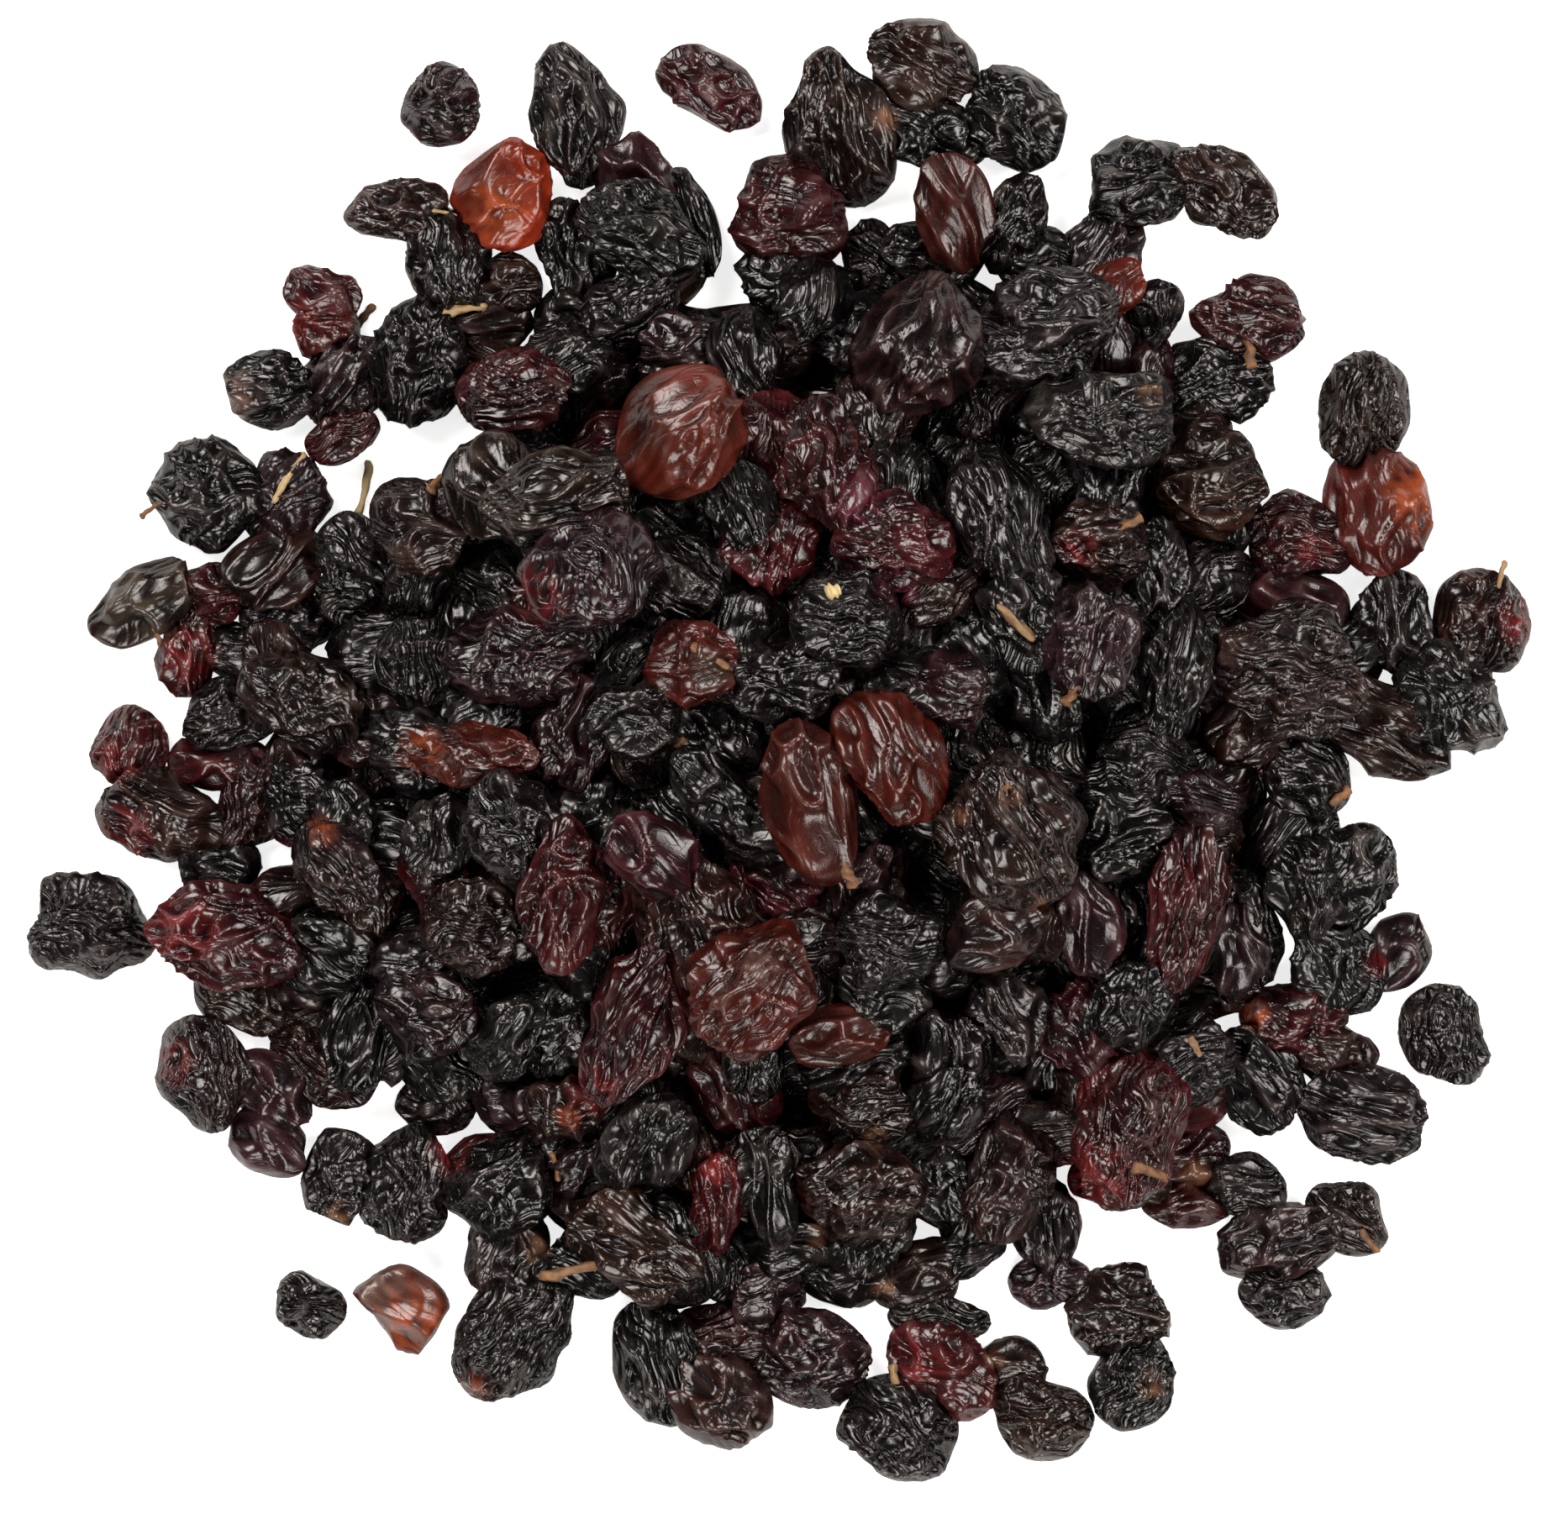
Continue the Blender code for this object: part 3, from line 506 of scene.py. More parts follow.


# The currants' skins: thin, dry and waxy, drawn into sharp crests with hollows between. Their
# colour holds painted shade in the hollows and painted highlights on the crests.
# Each kind of skin is one piece, and black and brown are two each, wrinkled and folded. Folds run
# across each other, lengthwise or in rings, or leave large smooth faces.

# Ways of folding: length and depth of the folds, spacing and depth of the ribs (mm), how far both
# are drawn out along the currant, and strength of the finest wrinkles
FOLDS = {
    "fine": (2.7, 0.70, 1.45, 0.26, 1.4, 0.75),
    "fold": (2.9, 1.05, 1.70, 0.15, 1.4, 0.35),
    "long": (2.8, 0.95, 1.50, 0.28, 2.4, 0.5),
    "ring": (2.6, 0.55, 1.60, 0.24, 1.3, 0.6),
    "smooth": (3.6, 0.95, 2.40, 0.06, 1.8, 0.12),
    "cut": (4.5, 0.20, 2.40, 0.03, 1.8, 0.08),
}
# Colour of each kind of skin
SKINS = {
    "black": (0.0030, 0.0019, 0.0020),
    "charcoal": (0.0058, 0.0040, 0.0040),
    "purple": (0.0170, 0.0048, 0.0064),
    "brown": (0.0150, 0.0045, 0.0028),
    "maroon": (0.0330, 0.0030, 0.0046),
    "russet": (0.0500, 0.0064, 0.0032),
    "red": (0.1300, 0.0150, 0.0050),
}
# Painted light through the clear kinds of skin: how much brighter their colour is made where it
# faces sideways, towards their edges
PAINTED_EDGE_GLOW = {"russet": 0.4, "red": 1.2, "maroon": 0.6}
# Colours of the patches on some skins, and the patches: x, y, spread (mm) and colour
PATCHES = {
    "tan": (0.200, 0.095, 0.045),
    "beige": (0.110, 0.062, 0.048),
    "olive": (0.034, 0.024, 0.015),
    "red": (0.140, 0.010, 0.011),
    "magenta": (0.090, 0.009, 0.024),
    "orange": (0.260, 0.050, 0.014),
}
PATCH_ROWS = [
    (33.0, 33.2, 1.2, "tan"), (40.0, -16.8, 1.4, "orange"), (32.6, -38.6, 1.6, "tan"),
    (10.6, -43.1, 1.1, "tan"), (-19.5, -41.0, 1.4, "tan"), (-27.0, -31.8, 2.0, "red"),
    (-39.6, 35.2, 2.0, "red"), (-46.2, 28.4, 2.4, "beige"), (-54.0, 11.8, 5.0, "olive"),
    (-49.2, 8.0, 2.6, "red"), (-54.6, 1.4, 2.4, "red"), (-53.8, -5.6, 3.0, "red"),
    (-49.0, -24.6, 2.4, "red"), (-37.8, -36.4, 1.3, "tan"), (-24.6, -53.2, 1.6, "orange"),
    (10.6, -50.6, 2.6, "red"), (18.9, -48.2, 1.0, "tan"), (29.6, -52.3, 1.3, "tan"),
    (51.3, -11.6, 1.4, "red"), (59.6, 13.6, 2.2, "red"), (10.2, 50.8, 1.2, "tan"),
    (23.0, 16.2, 1.9, "red"), (-29.0, 0.4, 2.2, "orange"), (-37.0, -6.1, 1.4, "orange"),
    (-17.5, -28.8, 1.4, "orange"), (-5.7, -32.6, 2.0, "red"), (6.8, -30.2, 1.2, "tan"),
    (-19.4, 12.6, 2.8, "red"), (-6.0, 6.6, 2.2, "olive"), (17.5, -3.3, 1.2, "tan"),
    (19.5, -11.6, 1.0, "tan"), (13.7, -4.7, 0.9, "tan"), (24.6, -33.4, 3.4, "red"),
    (-2.0, -16.5, 1.8, "beige"), (2.3, -38.2, 1.1, "tan"), (-48.2, -13.6, 3.8, "red"),
    (5.6, 20.4, 2.8, "magenta"), (8.6, 13.2, 2.0, "magenta"), (-15.4, -26.6, 2.4, "red"),
    (42.4, 19.4, 1.8, "red"), (-22.4, 44.0, 3.0, "orange"), (53.0, 20.6, 3.4, "orange"),
    (52.0, 22.6, 2.8, "orange"), (-32.6, -42.4, 4.6, "beige"), (-29.6, -48.0, 3.6, "orange"),
]
MARKS = [(*beside(x, y), spread, colour) for x, y, spread, colour in PATCH_ROWS]
# Least height of any vertex over the floor, mm
FLOOR_GAP = 0.03
# Least share of the radius that a flat leaves on a cut currant and on any other
CUT_FLAT = 0.6
FLAT = 0.74
# Height of broad and small lumps over the half width, with their lengths in mm
LUMPS = ((0.06, 7.0), (0.035, 3.8))
# Half width from which the folds have their full depth, mm
FULL_DEPTH_FROM = 3.2
# Folds and ribs fade towards the sides: share left there, and how fast
SIDE_FOLD = 0.15
SIDE_RIB = 0.03
FADE = 1.4
# Rings of a mesh for each mm across of the area in view, their limits, and sides for each ring
DETAIL = 5.85
FEWEST_RINGS = 14
MOST_RINGS = 64
SIDES_PER_RING = 1.25
# Seed of the first currant's own draws
FIRST_SEED = 1000


def crests(place, length, rng):
    """One along the lines where a warped wave field is nil, falling to zero in the hollows.

    The warp moves each place by three slower sums of waves.
    """
    bend = np.stack([waves(place, 2.4 * length, rng, 5) for _ in range(3)], -1)
    field = waves(place + 0.28 * length * bend, length, rng)
    return np.maximum(0.0, 1.0 - 0.9 * np.abs(field)) ** 1.5


def facets(unit, least, rng, count=11):
    """Share of its radius that is left where drawn planes press an ellipsoid flat."""
    heading = rng.normal(size=(3, count))
    heading /= np.linalg.norm(heading, axis=0)
    facing = np.maximum(unit @ heading, 0.05)
    return np.minimum(1.0, (rng.uniform(least, 0.95, count) / facing).min(-1))


def ribs(place, spacing, rng):
    """Long ridges side by side: a sine across the width, its phase bent by slower waves."""
    phase = 2.0 * math.pi * place[:, 1] / spacing + 4.0 * waves(place, 3.4 * spacing, rng, 6)
    return (0.5 + 0.5 * np.sin(phase)) ** 1.6


def wrinkled_currant(centre, axes, halves, folds, rings, sides, rng):
    """Ellipsoid of rings about the long axis, set closer on its upper side, with lumps and crests.

    The place on the ellipsoid moves along its normal by a broad wave for the uneven outline, by
    deep folds and by small ribs. Returns the vertices, the skin coordinates, the crests and how
    far each place faces up.
    """
    fold_length, fold_depth, wrinkle_length, wrinkle_depth, stretch, _ = FOLDS[folds]
    along = np.pi * (np.arange(rings) + 0.75) / (rings + 0.5)
    turn = np.linspace(-1.0, 1.0, sides, endpoint=False)
    turn = np.pi * turn * (0.52 + 0.48 * np.abs(turn))
    v, u = np.meshgrid(along, turn, indexing="ij")
    unit = np.stack([np.cos(v), np.sin(v) * np.sin(u), np.sin(v) * np.cos(u)], -1).reshape(-1, 3)
    unit = np.concatenate([unit, [[1.0, 0.0, 0.0], [-1.0, 0.0, 0.0]]])
    body = unit * halves * facets(unit, CUT_FLAT if folds == "cut" else FLAT, rng)[:, None]
    normal = unit / halves
    normal /= np.linalg.norm(normal, axis=1)[:, None]
    lump = sum(share * waves(body, length, rng, 5) for share, length in LUMPS)
    lump = lump * halves[1] * (0.4 if folds == "smooth" else 1.0)
    flow = body / [stretch, 1.0, 1.0]
    if folds == "ring":
        ring = (np.abs(body[:, 0] / 1.3) ** 3 + np.abs(body[:, 1]) ** 3 + 1.0) ** (1.0 / 3.0)
        ring = ring + 0.5 * waves(body, 4.0, rng, 5)
        flow = np.stack([0.6 * body[:, 0], ring, 0.6 * body[:, 2]], -1)
    deep = crests(flow, fold_length, rng)
    small = ribs(flow, wrinkle_length, rng)
    depth = fold_depth * min(1.0, halves[1] / FULL_DEPTH_FROM)
    upward = np.clip(normal @ axes[:, 2], 0.0, 1.0)
    faded = upward ** FADE
    rise = lump + (SIDE_FOLD + (1.0 - SIDE_FOLD) * faded) * depth * (deep - 0.35)
    rise = rise + (SIDE_RIB + (1.0 - SIDE_RIB) * faded) * wrinkle_depth * (small - 0.4)
    shape = (body + normal * rise[:, None]) @ axes + centre
    shape[:, 2] = np.maximum(shape[:, 2], FLOOR_GAP)
    crest = np.clip(0.72 * deep + 0.45 * small, 0.0, 1.0)
    return shape, flow + rng.uniform(-60.0, 60.0, 3), crest, upward


def grown_kind(name, kind, currants):
    """One piece of all currants of a kind: vertices, faces and the fields that its skin reads."""
    places, flows, crest, tones, fines, quads, fans = [], [], [], [], [], [], []
    count = 0
    for centre, axes, halves, folds, area, number in currants:
        rng = np.random.default_rng(FIRST_SEED + number)
        rings = DETAIL * math.sqrt(area) * math.sqrt(halves[0] / halves[1])
        rings = int(np.clip(rings, FEWEST_RINGS, MOST_RINGS))
        sides = int(rings * SIDES_PER_RING)
        shape, flow, rise, upward = wrinkled_currant(centre, axes, np.array(halves), folds,
                                                     rings, sides, rng)
        tone = np.array(SKINS[kind]) * rng.uniform(0.75, 1.3)
        tone = tone * (1.0 + 0.12 * rng.normal(size=3))
        tone = tone * (1.0 + 0.22 * waves(shape - centre, 8.0, rng, 4)[:, None])
        # Painted light: the clear skins' colour is brightened where they face sideways, for light
        # shining through the thin skin
        thin = PAINTED_EDGE_GLOW.get(kind, 0.0) * (1.0 - upward[:, None]) ** 2
        tone = tone * (1.0 + thin * np.array([1.0, 0.7, 0.5]))
        for x, y, spread, colour in MARKS:
            if math.hypot(x - centre[0], y - centre[1]) < spread + halves[0]:
                near = 1.0 - np.hypot(shape[:, 0] - x, shape[:, 1] - y) / spread
                near = np.where(shape[:, 2] > centre[2] - 0.5, np.clip(1.6 * near, 0.0, 1.0), 0.0)
                near *= np.clip(0.75 + 0.35 * waves(shape, 1.4, rng, 5), 0.0, 1.0)
                tone += near[:, None] * (np.array(PATCHES[colour]) - tone)
        places.append(shape)
        flows.append(flow)
        crest.append(rise)
        tones.append(np.clip(tone, 0.001, 0.6))
        fines.append(np.full(len(shape), FOLDS[folds][5]))
        four, three = closed_faces(rings, sides)
        quads.append(four[:, ::-1] + count)
        fans.append(three[:, ::-1] + count)
        count += len(shape)
    places = np.concatenate(places)
    tones = np.concatenate([np.concatenate(tones), np.ones((len(places), 1))], 1)
    fields = [("skin_flow", np.concatenate(flows)), ("skin_crest", np.concatenate(crest)),
              ("skin_tone", tones), ("skin_fine", np.concatenate(fines))]
    return put_mesh(name, places, [np.concatenate(quads), np.concatenate(fans)], fields)


def skin_group():
    """Node group of a dried skin: wrinkle lines finer than the mesh, painted shade in hollows,
    painted highlights on crests.

    A line runs where a noise crosses its middle value. Height is in mm.
    """
    group = bpy.data.node_groups.new("dried_skin", "ShaderNodeTree")
    for name, kind in (("Flow", "NodeSocketVector"), ("Crest", "NodeSocketFloat"),
                       ("Tone", "NodeSocketColor"), ("Fine", "NodeSocketFloat"),
                       ("Painted_highlight", "NodeSocketFloat"), ("Gloss", "NodeSocketFloat"),
                       ("Depth", "NodeSocketFloat")):
        group.interface.new_socket(name=name, in_out="INPUT", socket_type=kind)
    for name, kind in (("Color", "NodeSocketColor"), ("Roughness", "NodeSocketFloat"),
                       ("Height", "NodeSocketFloat")):
        group.interface.new_socket(name=name, in_out="OUTPUT", socket_type=kind)
    node, link = group.nodes.new, group.links.new
    given, result = node("NodeGroupInput"), node("NodeGroupOutput")

    def reckon(operation, first, second=None, third=None, clamp=False):
        """Math node on sockets or numbers."""
        made = node("ShaderNodeMath")
        made.operation = operation
        made.use_clamp = clamp
        for socket, value in zip(made.inputs, (first, second, third)):
            if isinstance(value, (int, float)):
                socket.default_value = value
            elif value is not None:
                link(value, socket)
        return made.outputs[0]

    def lines(scale, width, distortion):
        """Thin crests of a noise: one on the line, nil beyond its width."""
        noise = node("ShaderNodeTexNoise")
        noise.inputs["Scale"].default_value = scale
        noise.inputs["Detail"].default_value = 0.6
        noise.inputs["Roughness"].default_value = 0.4
        noise.inputs["Distortion"].default_value = distortion
        link(given.outputs["Flow"], noise.inputs["Vector"])
        off = reckon("ABSOLUTE", reckon("SUBTRACT", noise.outputs["Fac"], 0.5))
        line = node("ShaderNodeMapRange")
        line.interpolation_type = "SMOOTHSTEP"
        line.inputs["From Min"].default_value = width
        line.inputs["From Max"].default_value = 0.0
        link(off, line.inputs["Value"])
        return line.outputs["Result"], noise.outputs["Fac"]

    def blended(mode, factor, first, second):
        """Colour mix node."""
        made = node("ShaderNodeMix")
        made.data_type = "RGBA"
        made.blend_type = mode
        sockets = (made.inputs[0], made.inputs[6], made.inputs[7])
        for socket, value in zip(sockets, (factor, first, second)):
            if isinstance(value, (int, float, tuple)):
                socket.default_value = value
            else:
                link(value, socket)
        return made.outputs[2]

    thin, mottle = lines(1.0, 0.05, 0.8)
    ribs = node("ShaderNodeTexWave")
    ribs.bands_direction = "Y"
    for name, value in (("Scale", 0.31), ("Distortion", 12.0), ("Detail", 0.0),
                        ("Detail Scale", 1.4), ("Detail Roughness", 0.5)):
        ribs.inputs[name].default_value = value
    link(given.outputs["Flow"], ribs.inputs["Vector"])
    coarse = reckon("POWER", ribs.outputs["Fac"], 2.2)
    grain = node("ShaderNodeTexNoise")
    grain.inputs["Scale"].default_value = 7.0
    grain.inputs["Detail"].default_value = 3.0
    link(given.outputs["Flow"], grain.inputs["Vector"])
    relief = reckon("MULTIPLY", given.outputs["Fine"],
                    reckon("ADD", reckon("MULTIPLY", coarse, 0.24), reckon("MULTIPLY", thin, 0.07)))
    height = reckon("ADD", relief, reckon("MULTIPLY", grain.outputs["Fac"], 0.012))
    link(height, result.inputs["Height"])

    ridge = reckon("MAXIMUM", coarse, reckon("MULTIPLY", thin, 0.7))
    ridge = reckon("MULTIPLY", given.outputs["Fine"], ridge)
    # Painted shade: the skin's colour is darkened in the hollows of the folds and between the finer
    # wrinkle lines, the more so the higher Depth is
    painted_fold_shade = reckon("MULTIPLY_ADD", given.outputs["Crest"], 1.6, -0.12, clamp=True)
    painted_wrinkle_shade = reckon("SUBTRACT", 1.0, reckon("MULTIPLY", given.outputs["Fine"],
                                               reckon("SUBTRACT", 1.0, ridge)))
    shade = reckon("MULTIPLY", painted_fold_shade, reckon("MULTIPLY_ADD", painted_wrinkle_shade, 0.7, 0.3))
    painted_shade_amount = reckon("MULTIPLY", given.outputs["Depth"], reckon("SUBTRACT", 1.0, shade))
    shade = reckon("SUBTRACT", 1.0, painted_shade_amount)
    dark = blended("MULTIPLY", 1.0, given.outputs["Tone"], (0.16, 0.12, 0.14, 1.0))
    skin = blended("MIX", shade, dark, given.outputs["Tone"])
    # Painted highlight: a pale, mottled colour laid on the peaks of the crests and wrinkle lines
    peak = reckon("MAXIMUM", reckon("POWER", given.outputs["Crest"], 5.0),
                  reckon("POWER", ridge, 4.0))
    painted_highlight = reckon("MULTIPLY", given.outputs["Painted_highlight"], reckon("MULTIPLY", peak, mottle))
    pale = blended("MIX", 0.5, given.outputs["Tone"], (0.22, 0.165, 0.145, 1.0))
    skin = blended("MIX", painted_highlight, skin, pale)
    link(skin, result.inputs["Color"])
    rough = reckon("MULTIPLY_ADD", grain.outputs["Fac"], 0.2, given.outputs["Gloss"])
    link(reckon("MULTIPLY_ADD", peak, 0.06, rough), result.inputs["Roughness"])
    return group


dried_skin = skin_group()


def skin_material(name, painted_highlight, gloss, depth):
    """Dried skin: painted highlight on its crests, roughness, and how dark the painted shade in its
    hollows is.
    """
    material, shader, node, link = surface_material(name)
    group = node("ShaderNodeGroup")
    group.node_tree = dried_skin
    for field, output, socket in (("skin_flow", "Vector", "Flow"), ("skin_crest", "Fac", "Crest"),
                                  ("skin_tone", "Color", "Tone"), ("skin_fine", "Fac", "Fine")):
        attribute = node("ShaderNodeAttribute")
        attribute.attribute_name = field
        link(attribute.outputs[output], group.inputs[socket])
    for socket, value in (("Painted_highlight", painted_highlight), ("Gloss", gloss), ("Depth", depth)):
        group.inputs[socket].default_value = value
    bump = node("ShaderNodeBump")
    bump.inputs["Distance"].default_value = MM
    bump.inputs["Strength"].default_value = 1.0
    link(group.outputs["Height"], bump.inputs["Height"])
    link(group.outputs["Color"], shader.inputs["Base Color"])
    link(group.outputs["Roughness"], shader.inputs["Roughness"])
    link(bump.outputs["Normal"], shader.inputs["Normal"])
    shader.inputs["Specular IOR Level"].default_value = 0.5
    return material


# Currants with less than this in view from above are left out, mm2
SHOWN_AREA = 0.6
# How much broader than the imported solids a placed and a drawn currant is, and how much thicker
FULLER = (1.11, 1.16)
THICKER = 1.04
kinds = {}
for number, (currant, area) in enumerate(zip(pile.currants, pile.seen())):
    centre, axes, halves, look = currant
    kind, folds = look.split()
    drawn = len(RIM) <= number < len(RIM) + SHOULDER_COUNT + CROWN_COUNT
    halves = np.array(halves) * [FULLER[drawn], FULLER[drawn], THICKER]
    sort = kind
    if kind in ("black", "brown"):
        sort = kind + ("_wrinkled" if folds == "fine" else "_folded")
    if area > SHOWN_AREA:
        kinds.setdefault(sort, []).append((centre, axes, halves, folds, area, number))
# Painted highlight on the crests, least roughness, and how dark the painted shade in the hollows is
FINISH = {
    "black": (0.36, 0.14, 1.0),
    "charcoal": (0.44, 0.15, 1.0),
    "purple": (0.36, 0.15, 1.0),
    "brown": (0.36, 0.14, 1.0),
    "maroon": (0.36, 0.14, 0.9),
    "russet": (0.29, 0.17, 0.7),
    "red": (0.30, 0.16, 0.45),
}
for kind, finish in FINISH.items():
    skin_material(kind + "_skin", *finish)
for sort, currants in kinds.items():
    kind = sort.split("_")[0]
    piece = grown_kind(sort + "_currants", kind, currants)
    piece.data.materials.append(bpy.data.materials[kind + "_skin"])
    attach(piece, "root")
    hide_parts("heap")


# Stem ends: dry woody stalks, tan or straw yellow, still on some currants or lying between them,
# and a few flecks of dry husk. All are one piece, and each rests on the currants under it.

# Both ends of each, its radius (mm) and its tone, from rust at nil to cream at one
STALKS = [
    (41.2, 31.0, 41.0, 33.8, 0.40, 0.05), (-38.2, 26.6, -40.6, 22.6, 0.34, 0.60),
    (-33.2, 26.1, -34.1, 21.6, 0.36, 0.70), (-27.6, 35.1, -24.0, 35.9, 0.38, 0.40),
    (-34.8, 35.0, -33.4, 36.8, 0.38, 0.05), (-30.4, 45.4, -28.4, 45.0, 0.16, 0.40),
    (-51.8, 19.0, -50.0, 20.2, 0.22, 0.05), (-52.4, 8.0, -53.2, 9.8, 0.26, 0.05),
    (-48.8, -7.2, -48.9, -9.4, 0.14, 0.05), (7.1, -50.3, 7.6, -52.8, 0.34, 0.30),
    (47.8, -39.4, 46.3, -37.6, 0.30, 0.05), (58.4, 18.4, 57.8, 16.2, 0.24, 0.30),
    (16.6, 12.0, 19.4, 9.0, 0.42, 0.20), (28.0, 18.8, 25.6, 17.8, 0.42, 0.05),
    (5.3, -10.3, 4.3, -8.2, 0.50, 0.05), (-18.8, -31.6, -18.2, -33.9, 0.28, 0.05),
    (-19.5, -44.4, -14.5, -43.2, 0.44, 0.10), (33.5, -22.0, 34.4, -23.6, 0.40, 0.15),
    (44.7, -2.6, 43.2, -3.9, 0.42, 0.05), (21.8, 4.0, 22.8, 5.6, 0.44, 0.05),
    (-28.4, 20.8, -27.2, 22.2, 0.36, 0.05), (-7.6, 8.6, -4.6, 6.8, 0.36, 0.05),
    (27.4, -37.8, 30.2, -38.8, 0.44, 0.05), (3.0, 12.7, 4.1, 13.0, 0.60, 1.00),
    (-8.9, 0.9, -8.2, 1.2, 0.40, 0.05), (16.7, -2.6, 17.7, -2.3, 0.50, 0.05),
    (24.3, 3.4, 24.9, 3.9, 0.40, 0.05),
]
STALK_RINGS = 16
STALK_SIDES = 12
# How far the lower end may hang below the upper one, and how much of its radius each end is raised
HANG = 1.2
NEAR_RAISED = 0.6
FAR_RAISED = 0.3


def top_of_heap(x, y):
    """Height of the heap's upper surface at a place."""
    return pile.height[int(round((y + REACH) / GRID)), int(round((x + REACH) / GRID))]


def stalk_surface(start, end, radius, rings, sides, rng):
    """Rings along a slightly bent line, rough and ribbed, a little thicker at the broken end."""
    run, turn = np.meshgrid(np.linspace(0.0, 1.0, rings), np.arange(sides) * 2.0 * math.pi / sides,
                            indexing="ij")
    line = np.array(end) - start
    aside = np.cross(line, [0.0, 0.0, 1.0])
    aside /= np.linalg.norm(aside)
    above = np.cross(aside, line) / np.linalg.norm(line)
    middle = np.array(start) + run[..., None] * line
    middle = middle + 0.05 * np.linalg.norm(line) * np.sin(math.pi * run)[..., None] * (
        aside * rng.uniform(-1.0, 1.0) + above * 0.6)
    ribbed = 0.18 * np.sin(5.0 * turn + rng.uniform(0.0, 6.0))
    girth = radius * (0.75 + 0.45 * (1.0 - run) ** 4 + ribbed)
    around = np.stack([run * 5.0, np.sin(turn), np.cos(turn)], -1)
    girth = girth * (1.0 + 0.18 * waves(around, 1.6, rng, 6))
    girth = np.where((run == 0.0) | (run == 1.0), 0.5 * girth, girth)
    outward = np.cos(turn)[..., None] * aside + np.sin(turn)[..., None] * above
    shape = middle + girth[..., None] * outward
    ends = np.array([middle[0, 0], middle[-1, 0]])
    shape = np.concatenate([shape.reshape(-1, 3), ends])
    shape[:, 2] = np.maximum(shape[:, 2], FLOOR_GAP)
    return shape


rng = np.random.default_rng(41)
places, tones, quads, fans, count = [], [], [], [], 0
for x, y, far_x, far_y, radius, tone in STALKS:
    middle = ((x + far_x) / 2, (y + far_y) / 2)
    slid = np.array(beside(*middle)) - middle
    x, y, far_x, far_y = x + slid[0], y + slid[1], far_x + slid[0], far_y + slid[1]
    near, far = top_of_heap(x, y), top_of_heap(far_x, far_y)
    least = max(near, far) - HANG
    start = np.array([x, y, max(near, least) + NEAR_RAISED * radius])
    end = np.array([far_x, far_y, max(far, least) + FAR_RAISED * radius])
    places.append(stalk_surface(start, end, radius, STALK_RINGS, STALK_SIDES, rng))
    tones.append(np.full(len(places[-1]), tone))
    four, three = closed_faces(STALK_RINGS, STALK_SIDES)
    quads.append(four + count)
    fans.append(three + count)
    count += len(places[-1])
faces = [np.concatenate(quads), np.concatenate(fans)]
fields = [("stem_tone", np.concatenate(tones))]
stalks = put_mesh("stem_ends", np.concatenate(places), faces, fields)
wood, shader, node, link = surface_material("dry_stalk")
where, fibre = node("ShaderNodeTexCoord"), node("ShaderNodeTexNoise")
tint = node("ShaderNodeValToRGB")
fibre.inputs["Scale"].default_value = 1400.0
fibre.inputs["Detail"].default_value = 4.0
link(where.outputs["Object"], fibre.inputs["Vector"])
tint.color_ramp.elements[0].position = 0.35
tint.color_ramp.elements[0].color = (0.060, 0.020, 0.009, 1.0)
tint.color_ramp.elements[1].position = 0.65
tint.color_ramp.elements[1].color = (0.200, 0.078, 0.024, 1.0)
link(fibre.outputs["Fac"], tint.inputs["Fac"])
age, paler = node("ShaderNodeAttribute"), node("ShaderNodeMix")
age.attribute_name = "stem_tone"
paler.data_type = "RGBA"
paler.inputs[7].default_value = (0.560, 0.430, 0.220, 1.0)
link(age.outputs["Fac"], paler.inputs[0])
link(tint.outputs["Color"], paler.inputs[6])
link(paler.outputs[2], shader.inputs["Base Color"])
shader.inputs["Roughness"].default_value = 0.65
bump = node("ShaderNodeBump")
bump.inputs["Distance"].default_value = 0.0002
link(fibre.outputs["Fac"], bump.inputs["Height"])
link(bump.outputs["Normal"], shader.inputs["Normal"])
stalks.data.materials.append(wood)
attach(stalks, "root")
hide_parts("heap")


# Six strays, each a whole dried currant that lies by itself beside the heap, on a small flat that
# its own weight pressed in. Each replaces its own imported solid, and its rows are as the heap's.
STRAYS = [
    ("loose_brown", (-27.8, 52.1, 7.0, 6.8, 0), "purple", "fold"),
    ("loose_red", (-6.2, 53.2, 9.4, 5.6, -32), "maroon", "fold"),
    ("loose_olive_black", (-56.0, -13.6, 10.0, 8.8, -15), "charcoal", "fine"),
    ("loose_small_black", (-38.2, -44.1, 6.0, 5.6, 0), "black", "fine"),
    ("loose_tan", (-31.0, -44.3, 8.0, 7.0, -35), "russet", "cut"),
    ("loose_round_black", (52.6, -22.2, 8.0, 7.2, 90), "black", "fine"),
]
# Area taken for the fineness of a stray's mesh, its first number, and its centre's height over
# its half thickness
STRAY_AREA = 60.0
FIRST_STRAY = 900
SETTLED = 0.94
rng = random.Random(SEED + 2)
for number, (name, row, kind, folds) in enumerate(STRAYS):
    x, y, length, width, turn = row
    axes = resting_axes(x, y, turn, rng)
    halves = (length / 2, width / 2, FLATNESS * width / 2)
    centre = np.array([x, y, SETTLED * halves[2]])
    stray = (centre, axes, halves, folds, STRAY_AREA, FIRST_STRAY + number)
    piece = grown_kind(name + "_currant", kind, [stray])
    piece.data.materials.append(bpy.data.materials[kind + "_skin"])
    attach(piece, "root")
    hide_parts(name)


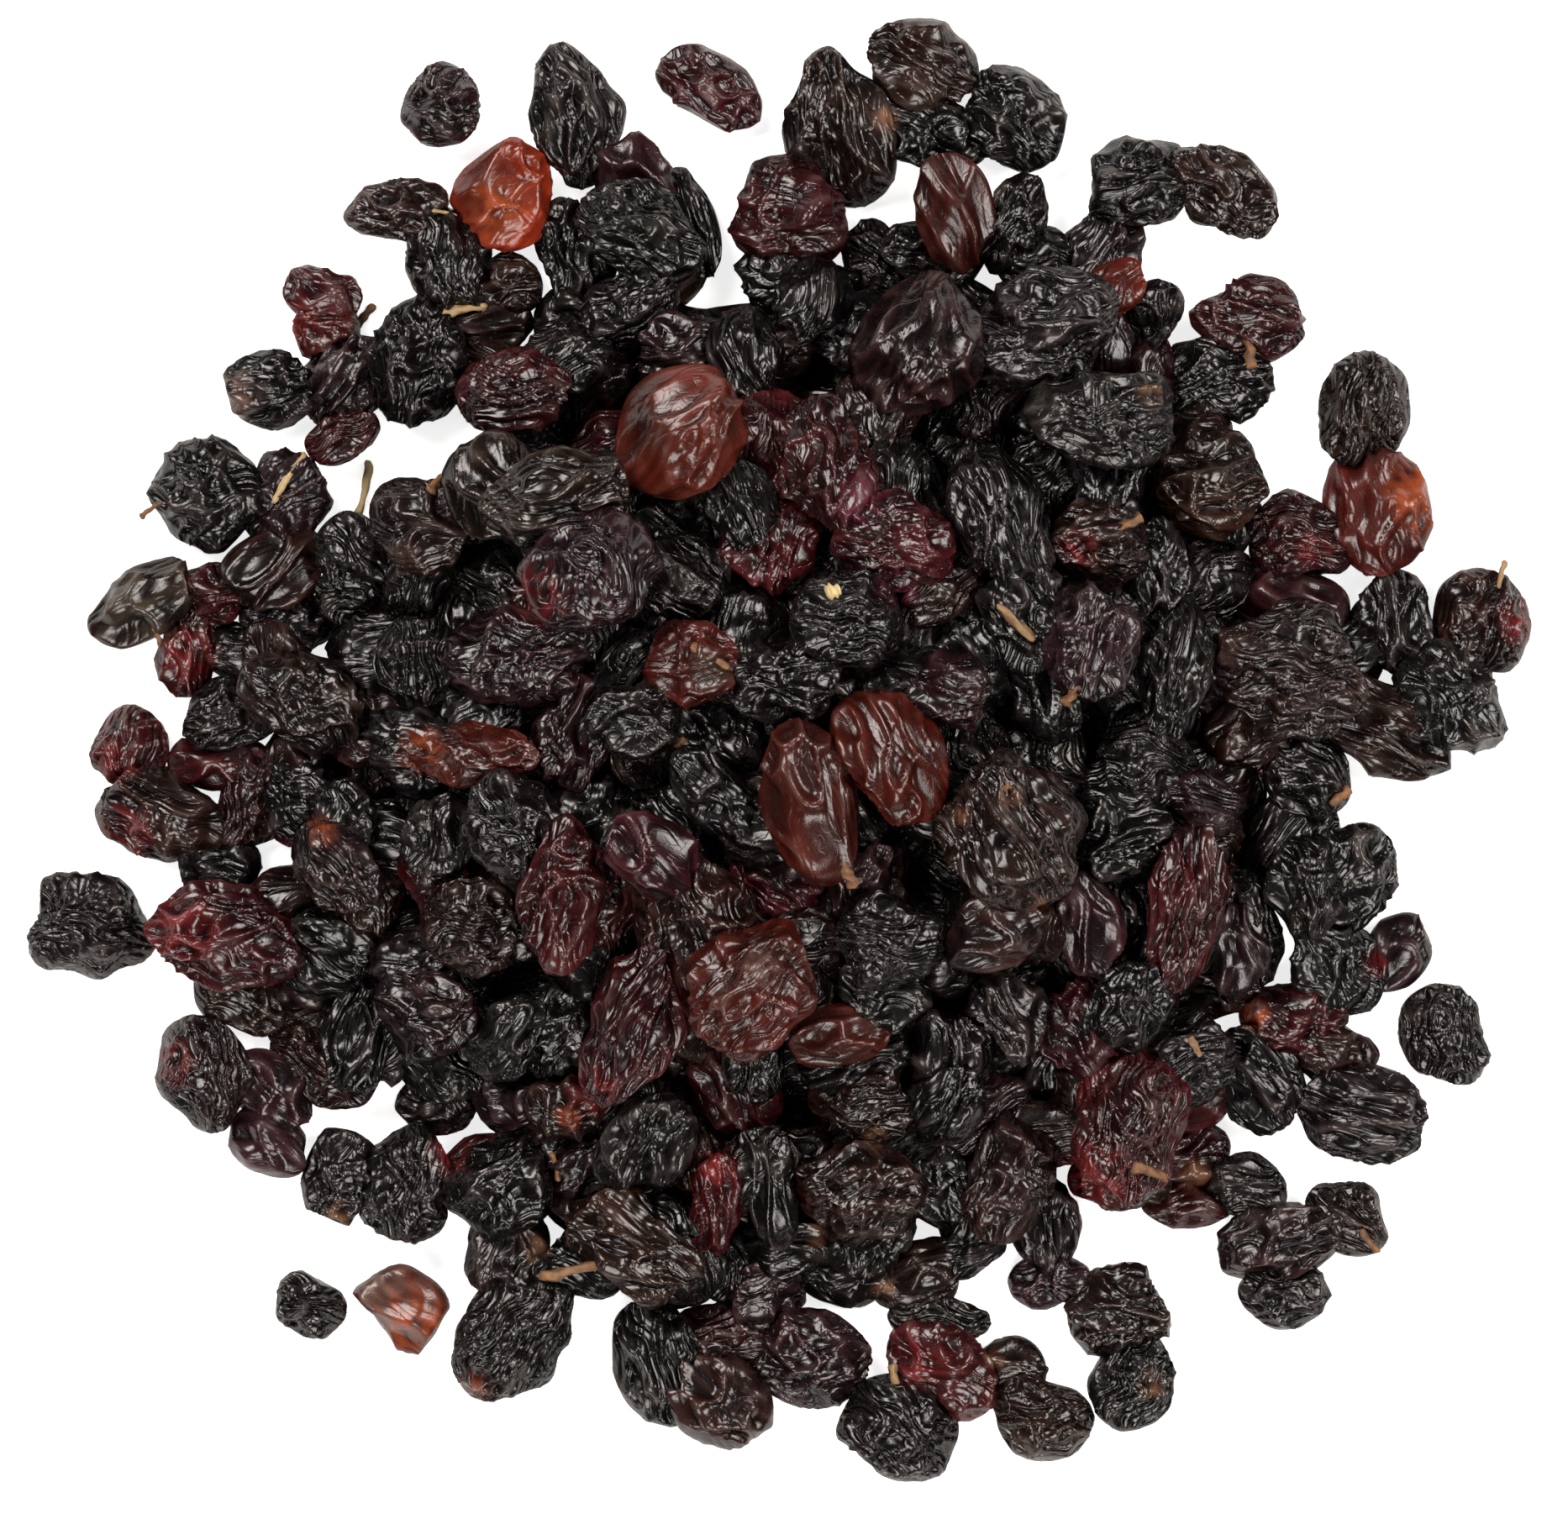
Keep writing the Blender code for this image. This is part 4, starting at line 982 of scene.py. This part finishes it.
# The studio round the heap: a plain white floor, which shines a little for the camera alone, a
# faint broad light overhead, three square lights from the upper left, the right and below, and a
# long lens that looks straight down.
FLOOR_HALF = 4000.0
corners = FLOOR_HALF * np.array([[-1.0, -1.0, 0.0], [1.0, -1.0, 0.0],
                                 [1.0, 1.0, 0.0], [-1.0, 1.0, 0.0]])
floor = put_mesh("floor", corners, [np.array([[0, 1, 2, 3]])])
paper, shader, node, link = surface_material("white_paper")
shader.inputs["Base Color"].default_value = (0.86, 0.86, 0.86, 1.0)
shader.inputs["Roughness"].default_value = 0.9
shader.inputs["Emission Color"].default_value = (1.0, 1.0, 1.0, 1.0)
rays = node("ShaderNodeLightPath")
seen = node("ShaderNodeMath")
seen.operation = "MULTIPLY"
seen.inputs[1].default_value = 0.8
link(rays.outputs["Is Camera Ray"], seen.inputs[0])
link(seen.outputs[0], shader.inputs["Emission Strength"])
floor.data.materials.append(paper)

world = bpy.data.worlds.new("studio")
world.use_nodes = True
world.node_tree.nodes["Background"].inputs["Color"].default_value = (1.0, 1.0, 1.0, 1.0)
world.node_tree.nodes["Background"].inputs["Strength"].default_value = 0.03
bpy.context.scene.world = world


def softbox(name, place, size, power):
    """Square area light that points at the heap: place and side in m, power in W."""
    light = bpy.data.lights.new(name, "AREA")
    light.size = size
    light.energy = power
    light.color = (1.0, 0.93, 0.88)
    lamp = bpy.data.objects.new(name, light)
    bpy.context.scene.collection.objects.link(lamp)
    lamp.location = place
    aim = -np.array(place, float)
    tilt = math.acos(-aim[2] / np.linalg.norm(aim))
    lamp.rotation_euler = (tilt, 0.0, math.atan2(aim[1], aim[0]) - math.pi / 2)


softbox("overhead_box", (0.0, 0.0, 1.0), 0.5, 0.1)
softbox("upper_left_box", (-0.36, 0.36, 0.55), 0.36, 6.1)
softbox("right_box", (0.5, 0.1, 0.5), 0.34, 4.6)
softbox("lower_box", (-0.05, -0.5, 0.5), 0.34, 3.9)

# Sensor width in mm, distance from the heap's middle height, that height, and the picture's width
SENSOR = 36.0
DISTANCE = 0.9
MIDDLE_HEIGHT = 0.008
PICTURE_WIDTH = 0.1244
camera = bpy.data.objects.new("camera", bpy.data.cameras.new("camera"))
bpy.context.scene.collection.objects.link(camera)
camera.data.sensor_width = SENSOR
camera.data.lens = SENSOR * DISTANCE / PICTURE_WIDTH
camera.data.clip_end = 20.0
camera.location = (-0.0003, -0.00117, DISTANCE + MIDDLE_HEIGHT)
bpy.context.scene.camera = camera
bpy.context.scene.view_settings.view_transform = "Standard"
